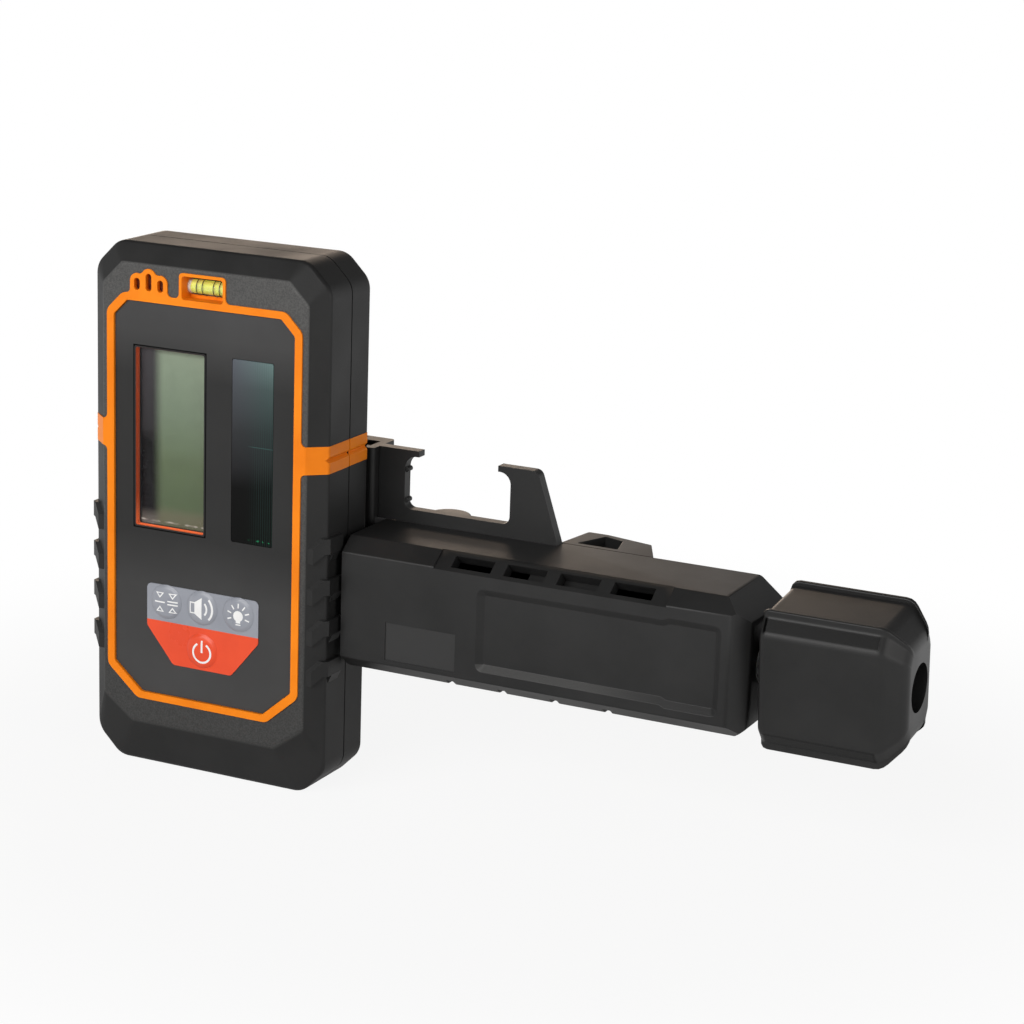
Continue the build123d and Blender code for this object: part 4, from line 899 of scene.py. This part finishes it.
def buildKnobScrew(look):
    screw = addRod(look["seat"], look["right"], look["head"], look)
    selectEnd(screw, "X", placeOn("X", look["seat"]), -1)
    bpy.ops.mesh.inset(thickness=(look["head"] - look["chamfer"] - look["shank"]) * mm)
    extrudeBy((look["left"] - look["seat"]) * mm, 0, 0)
    leaveEdit()
    middle = at(look["right"] - (look["socketDepth"] - look["over"]) / 2, look["depth"], look["height"])
    socket = newShape(bpy.ops.mesh.primitive_cylinder_add, vertices=6, radius=look["socket"] * mm,
                      depth=(look["socketDepth"] + look["over"]) * mm, location=middle,
                      rotation=(0, quarterTurn, 0))
    cutWith(screw, socket)
    settle(screw, "knobSocketScrew", "drive", "steel")
    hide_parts("knob_screw")


buildKnobScrew(knobScrew)
print("screw heads cut")


# Domed keys, turned from a profile, with their icons printed on: accuracy, volume, lamp and power

keyDome = dict(sides=64, smooth=40,
               profile=((0.0, -0.77), (1.6, -0.755), (2.9, -0.70), (3.7, -0.635), (4.2, -0.55),
                        (4.55, -0.44), (4.82, -0.29), (5.05, -0.14), (5.26, -0.03), (5.28, 0.10),
                        (5.28, 0.75), (2.0, 0.75), (2.0, 5.65), (0.0, 5.65)))
iconPrint = dict(front=-2.0, lift=0.010, thick=0.020, shift=(0.35, -0.05), barCuts=5, ringCuts=2,
                 arrowCuts=6, discSides=32, discRings=2, discInset=0.33)


def buildKeyDome(look):
    # the profile is spun about the key's own axis
    profile = look["profile"]
    steps = [((toR - fromR) * mm, (toY - fromY) * mm, 0)
             for (fromR, fromY), (toR, toY) in zip(profile, profile[1:])]
    key = drawProfile((0, profile[0][1] * mm, 0), steps)
    bpy.ops.mesh.select_all(action="SELECT")
    bpy.ops.mesh.spin(steps=look["sides"], angle=2 * math.pi, center=(0, 0, 0), axis=(0, 1, 0))
    bpy.ops.mesh.select_all(action="SELECT")
    bpy.ops.mesh.remove_doubles(threshold=doubles)
    faceOutwards()
    return key


def divide(obj, cuts):
    # small enough faces to follow the dome
    editAll(obj)
    bpy.ops.mesh.subdivide(number_cuts=cuts)
    leaveEdit()


def iconBar(start, stop, width):
    # a straight stroke in the icon's own plane, seen from the front
    run = Vector(stop) - Vector(start)
    middle = (Vector(start) + Vector(stop)) / 2
    turn = math.atan2(run.y, run.x)
    bar = newShape(bpy.ops.mesh.primitive_plane_add, size=1, location=(middle.x * mm, 0, middle.y * mm),
                   rotation=(quarterTurn, -turn, 0))
    bar.scale = (run.length * mm, width * mm, 1)
    applyPlace()
    divide(bar, iconPrint["barCuts"])
    return bar


def iconRing(middle, radius, stroke, sides=48, turn=0.0, squash=1.0, keep=None):
    # an outline: a circle or triangle, pulled in by its stroke, with an arc kept if one is given
    ring = newShape(bpy.ops.mesh.primitive_circle_add, vertices=sides, radius=radius * mm,
                    fill_type="NOTHING", rotation=(quarterTurn, -turn, 0))
    applyPlace()
    editAll(ring)
    bpy.ops.mesh.extrude_edges_move()
    share = 1 - stroke / (radius * (math.cos(math.pi / sides) if sides == 3 else 1))
    bpy.ops.transform.resize(value=(share, 1, share), center_override=(0, 0, 0))
    leaveEdit()
    if keep:
        selectFaces(ring, lambda face: not keep(math.degrees(math.atan2(face.center.z, face.center.x))))
        bpy.ops.mesh.delete(type="FACE")
        leaveEdit()
    divide(ring, iconPrint["arrowCuts"] if sides == 3 else iconPrint["ringCuts"])
    ring.scale = (1, 1, squash)
    ring.location = (middle[0] * mm, 0, middle[1] * mm)
    applyPlace()
    return ring


def iconDisc(middle, radius):
    disc = newShape(bpy.ops.mesh.primitive_circle_add, vertices=iconPrint["discSides"], radius=radius * mm,
                    fill_type="NGON", rotation=(quarterTurn, 0, 0))
    applyPlace()
    selectFaces(disc, lambda face: True)
    for ring in range(iconPrint["discRings"]):
        bpy.ops.mesh.inset(thickness=radius * iconPrint["discInset"] * mm)
    bpy.ops.mesh.poke()
    leaveEdit()
    disc.location = (middle[0] * mm, 0, middle[1] * mm)
    applyPlace()
    return disc


def iconWedge(left, right, leftHalf, rightHalf):
    wedge = iconBar((left, 0), (right, 0), 2 * leftHalf)
    grow = rightHalf / leftHalf - 1
    for vertex in wedge.data.vertices:
        vertex.co.z *= 1 + grow * (vertex.co.x / mm - left) / (right - left)
    return wedge


accuracyLook = dict(columns=((-2.2, (0.0,)), (2.2, (0.48, -0.48))), arrowRise=2.4, arrow=1.65, outline=0.38,
                    squash=0.72, lineHalf=1.75, stroke=0.42)


def accuracyIcon(look):
    # two columns of arrowheads, one pair about a single line and one about a double line
    pieces = []
    for middle, lines in look["columns"]:
        for way in (1, -1):
            pieces.append(iconRing((middle, way * look["arrowRise"]), look["arrow"], look["outline"],
                                   sides=3, turn=-quarterTurn * (way + 1), squash=look["squash"]))
        for up in lines:
            pieces.append(iconBar((middle - look["lineHalf"], up), (middle + look["lineHalf"], up),
                                  look["stroke"]))
    return pieces


volumeLook = dict(left=-4.1, right=-2.6, half=1.6, stroke=0.36, cone=(-2.6, -0.1, 1.75, 3.4), wavesAt=-0.9,
                  waves=((2.8, 0.6), (4.7, 0.62)), spread=42)


def volumeIcon(look):
    # a loudspeaker with two waves
    left, right, half, stroke = (look[key] for key in ("left", "right", "half", "stroke"))
    corner = half + stroke / 2
    pieces = [iconBar((left, half), (right, half), stroke), iconBar((left, -half), (right, -half), stroke),
              iconBar((left, -corner), (left, corner), stroke), iconWedge(*look["cone"])]
    for radius, width in look["waves"]:
        pieces.append(iconRing((look["wavesAt"], 0), radius, width,
                               keep=lambda angle: abs(angle) < look["spread"]))
    return pieces


lightLook = dict(bulbAt=-0.2, bulb=1.65, neck=(-1.6, -2.35), neckWide=1.5, foot=-2.85, footHalf=0.85,
                 footStroke=0.34, rays=(-18, 18, 54, 90, 126, 162, 198), rayFrom=2.45, rayTo=3.85,
                 stroke=0.42)


def lightIcon(look):
    # a bulb with rays
    middle = Vector((0, look["bulbAt"]))
    top, low = look["neck"]
    foot, half = look["foot"], look["footHalf"]
    pieces = [iconDisc(middle, look["bulb"]), iconBar((0, top), (0, low), look["neckWide"]),
              iconBar((-half, foot), (half, foot), look["footStroke"])]
    for angle in look["rays"]:
        way = Vector((math.cos(math.radians(angle)), math.sin(math.radians(angle))))
        pieces.append(iconBar(way * look["rayFrom"] + middle, way * look["rayTo"] + middle, look["stroke"]))
    return pieces


powerLook = dict(ringAt=-0.35, ring=3.3, stroke=0.62, gap=(62, 118), bar=(-0.3, 3.5))


def powerIcon(look):
    # a bar in the gap of a ring
    low, high = look["gap"]
    foot, top = look["bar"]
    ring = iconRing((0, look["ringAt"]), look["ring"], look["stroke"],
                    keep=lambda angle: not low < angle < high)
    return [ring, iconBar((0, foot), (0, top), look["stroke"])]


keySet = {
    "accuracy": dict(node="key_accuracy", body="accuracy_key", middle=(-12.5, 53.3), draw=accuracyIcon,
                     icon=accuracyLook),
    "volume": dict(node="key_volume", body="volume_key", middle=(0.0, 53.3), draw=volumeIcon,
                   icon=volumeLook),
    "light": dict(node="key_light", body="light_key", middle=(12.5, 53.3), draw=lightIcon,
                  icon=lightLook),
    "power": dict(node="key_power", body="power_key", middle=(0.0, 40.0), draw=powerIcon,
                  icon=powerLook),
}


def printIcon(pieces, middle, key, look):
    # laid on the key's dome from the front, then given the thickness of a print
    icon = join(pieces)
    icon.location = at(middle[0] + look["shift"][0], look["front"], middle[1] + look["shift"][1])
    pick(icon)
    applyPlace()
    addModifier(icon, "SHRINKWRAP", wrap_method="PROJECT", use_project_y=True, use_positive_direction=True,
                use_negative_direction=False, target=key, offset=look["lift"] * mm)
    editAll(icon)
    bpy.ops.mesh.remove_doubles(threshold=doubles)
    faceOutwards()
    if sum(face.normal.y * face.area for face in icon.data.polygons) > 0:
        editAll(icon)
        bpy.ops.mesh.flip_normals()
        leaveEdit()
    addModifier(icon, "SOLIDIFY", thickness=look["thick"] * mm, offset=0.0)
    return icon


plainKey = buildKeyDome(keyDome)
for label, look in keySet.items():
    key = twinOf(plainKey)
    key.location = at(look["middle"][0], 0, look["middle"][1])
    settle(key, label + "Key", look["body"], slotOf[look["node"]], smooth=keyDome["smooth"])
    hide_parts(look["node"])
    icon = printIcon(look["draw"](look["icon"]), look["middle"], key, iconPrint)
    settle(icon, label + "Icon", look["body"], "white_plastic", "icon_white")
bpy.data.objects.remove(plainKey)
print("keys and icons:", len(keySet))


# Lines on the vial

vialLines = dict(places=(-4.0, -2.05, 1.7, 3.75), sides=64, radius=2.53, wide=0.26, thick=0.05, depth=4.7,
                 height=148.85)


def buildVialLines(look):
    rings = []
    for x in look["places"]:
        ring = newShape(bpy.ops.mesh.primitive_cylinder_add, vertices=look["sides"],
                        radius=look["radius"] * mm, depth=look["wide"] * mm, end_fill_type="NOTHING",
                        rotation=(0, quarterTurn, 0), location=at(x, look["depth"], look["height"]))
        applyPlace()
        addModifier(ring, "SOLIDIFY", thickness=look["thick"] * mm, offset=-1.0)
        rings.append(ring)
    settle(join(rings), "vialLineSet", "receiver", "switch_black", "vial_line")


buildVialLines(vialLines)
print("vial lines drawn")


# Dark red-brown strips behind the sounder slots, as painted shade of the orange slot walls

slotShadeStrips = dict(low=146.6, wide=1.96, front=1.25, back=1.55, sides=32,
                   slots=((-22.6, 3.6), (-18.6, 5.2), (-14.6, 3.6)))


def buildSlotShade(look):
    strips = []
    middle = look["low"] + look["wide"] / 2
    for x, rise in look["slots"]:
        strip = newShape(bpy.ops.mesh.primitive_circle_add, vertices=look["sides"], fill_type="NGON",
                         radius=look["wide"] / 2 * mm, location=at(x, look["front"], middle),
                         rotation=(quarterTurn, 0, 0))
        applyPlace()
        for vertex in strip.data.vertices:
            if vertex.co.z > placeOn("Z", middle) + doubles:
                vertex.co.z += (rise - look["wide"]) * mm
        editAll(strip)
        extrudeBy(0, (look["back"] - look["front"]) * mm, 0)
        faceOutwards()
        strips.append(strip)
    # painted shade: a dark sheet standing in for the shade inside the slots
    settle(join(strips), "sounderSlotShade", "receiver", "seal_black", "gauze")


buildSlotShade(slotShadeStrips)
print("sounder gauze set")


# Finger ribs on the battery door

doorRibs = dict(back=31.6, half=13.0, heights=(29.6, 31.8, 34.0), wide=1.1, proud=0.4, edge=0.36)


def buildDoorRibs(look):
    rib = newShape(bpy.ops.mesh.primitive_cube_add, size=1)
    rib.scale = (2 * look["half"] * mm, 2 * look["proud"] * mm, look["wide"] * mm)
    applyPlace()
    addModifier(rib, "BEVEL", width=look["edge"] * mm, segments=3, limit_method="ANGLE")
    ribs = copyTo(rib, [at(0, look["back"], z) for z in look["heights"]])
    settle(ribs, "doorRibs", "door", "case_black")


buildDoorRibs(doorRibs)
print("door ribs added")


# Floor, light and camera

studio = dict(floorSize=6.0, floorGap=0.0002, floorTone=0.70, clearFrom=0.12, clearTo=0.30, floorShow=0.90,
              floorMirror=0.45, worldFill=0.42, skyFrom=0.02, skyTo=0.42, skyTop=0.16)
lamps = {
    "frontLamp": dict(spot=(-0.30, -1.40, 0.66), size=(1.2, 0.8), power=21.0, colour=(1.0, 0.99, 0.98)),
    "backLamp": dict(spot=(-1.00, 1.25, 0.26), size=(0.8, 0.4), power=3.5, colour=(1.0, 0.76, 0.56)),
    "skimLamp": dict(spot=(-0.50, 1.21, 0.87), size=(0.4, 0.3), power=1.0, colour=(1.0, 0.78, 0.60)),
    "rightLamp": dict(spot=(0.75, -0.25, 0.20), size=(0.4, 0.5), power=1.8, colour=(1.0, 0.98, 0.96)),
}
lampAim = Vector((-0.02, -0.02, 0.01))


def buildFloor(look):
    # pale paint near the part, which fades to the white of the background further out
    floor = newShape(bpy.ops.mesh.primitive_plane_add, size=look["floorSize"],
                     location=(0, 0, placeOn("Z", 0) - look["floorGap"]))
    floor.name = "studioFloor"
    mat, tree, bsdf, where = startMaterial("studioFloorPaint")
    tree.nodes.remove(bsdf)
    far = addNode(tree, "ShaderNodeVectorMath", [(0, where)], operation="LENGTH").outputs["Value"]
    path = addNode(tree, "ShaderNodeLightPath").outputs
    direct = larger(tree, path["Is Camera Ray"], path["Is Transmission Ray"])
    clear = fade(tree, far, look["clearFrom"], look["clearTo"], look["floorShow"], 1.0)
    dim = fade(tree, far, look["clearFrom"], look["clearTo"], look["floorMirror"], 1.0)
    seen = larger(tree, multiply(tree, direct, clear), multiply(tree, path["Is Glossy Ray"], dim))
    paint = addNode(tree, "ShaderNodeBsdfDiffuse", in_Color=(*grey(look["floorTone"]), 1.0))
    white = addNode(tree, "ShaderNodeEmission", in_Color=(1.0, 1.0, 1.0, 1.0), in_Strength=1.0)
    mixed = addNode(tree, "ShaderNodeMixShader", [(0, seen), (1, paint.outputs[0]), (2, white.outputs[0])])
    tree.links.new(mixed.outputs[0], tree.nodes["Material Output"].inputs["Surface"])
    floor.data.materials.append(mat)


def buildWorld(look):
    # white all round for the camera; for light and reflections it darkens overhead, as a studio does
    world = bpy.context.scene.world or bpy.data.worlds.new("studioWorld")
    bpy.context.scene.world = world
    world.use_nodes = True
    tree = world.node_tree
    path = addNode(tree, "ShaderNodeLightPath").outputs
    mirrored = larger(tree, path["Is Glossy Ray"], path["Is Transmission Ray"])
    level = fade(tree, mirrored, 0.0, 1.0, look["worldFill"], 1.0, "LINEAR")
    way = addNode(tree, "ShaderNodeTexCoord").outputs["Generated"]
    overhead = fade(tree, axisOf(tree, way, "Z"), look["skyFrom"], look["skyTo"], 1.0, look["skyTop"])
    seen = larger(tree, path["Is Camera Ray"], multiply(tree, level, overhead))
    back = tree.nodes["Background"]
    back.inputs["Color"].default_value = (1.0, 1.0, 1.0, 1.0)
    tree.links.new(seen, back.inputs["Strength"])


def buildLamps():
    for name, look in lamps.items():
        clearSelection()
        bpy.ops.object.light_add(type="AREA", location=look["spot"])
        lamp = bpy.context.object
        lamp.name = name
        lamp.rotation_euler = (lampAim - Vector(look["spot"])).to_track_quat("-Z", "Y").to_euler()
        lamp.data.shape = "RECTANGLE"
        lamp.data.size, lamp.data.size_y = look["size"]
        lamp.data.energy = look["power"]
        lamp.data.color = look["colour"]


cameraLook = dict(spot=(0.33513, -0.70387, 0.23063), right=(0.8993, 0.4362, 0.0339),
                  up=(-0.1400, 0.2133, 0.9669), back=(0.4145, -0.8742, 0.2529), lens=96.32, sensor=36.0,
                  nearest=0.01)


def buildCamera(look):
    clearSelection()
    bpy.ops.object.camera_add(location=look["spot"])
    camera = bpy.context.object
    turn = Matrix((look["right"], look["up"], look["back"])).transposed()
    camera.rotation_euler = turn.to_euler()
    camera.data.lens = look["lens"]
    camera.data.sensor_width = look["sensor"]
    camera.data.sensor_fit = "HORIZONTAL"
    camera.data.clip_start = look["nearest"]
    bpy.context.scene.camera = camera


buildFloor(studio)
buildWorld(studio)
buildLamps()
buildCamera(cameraLook)
bpy.context.scene.view_settings.view_transform = "Standard"
print("studio set")
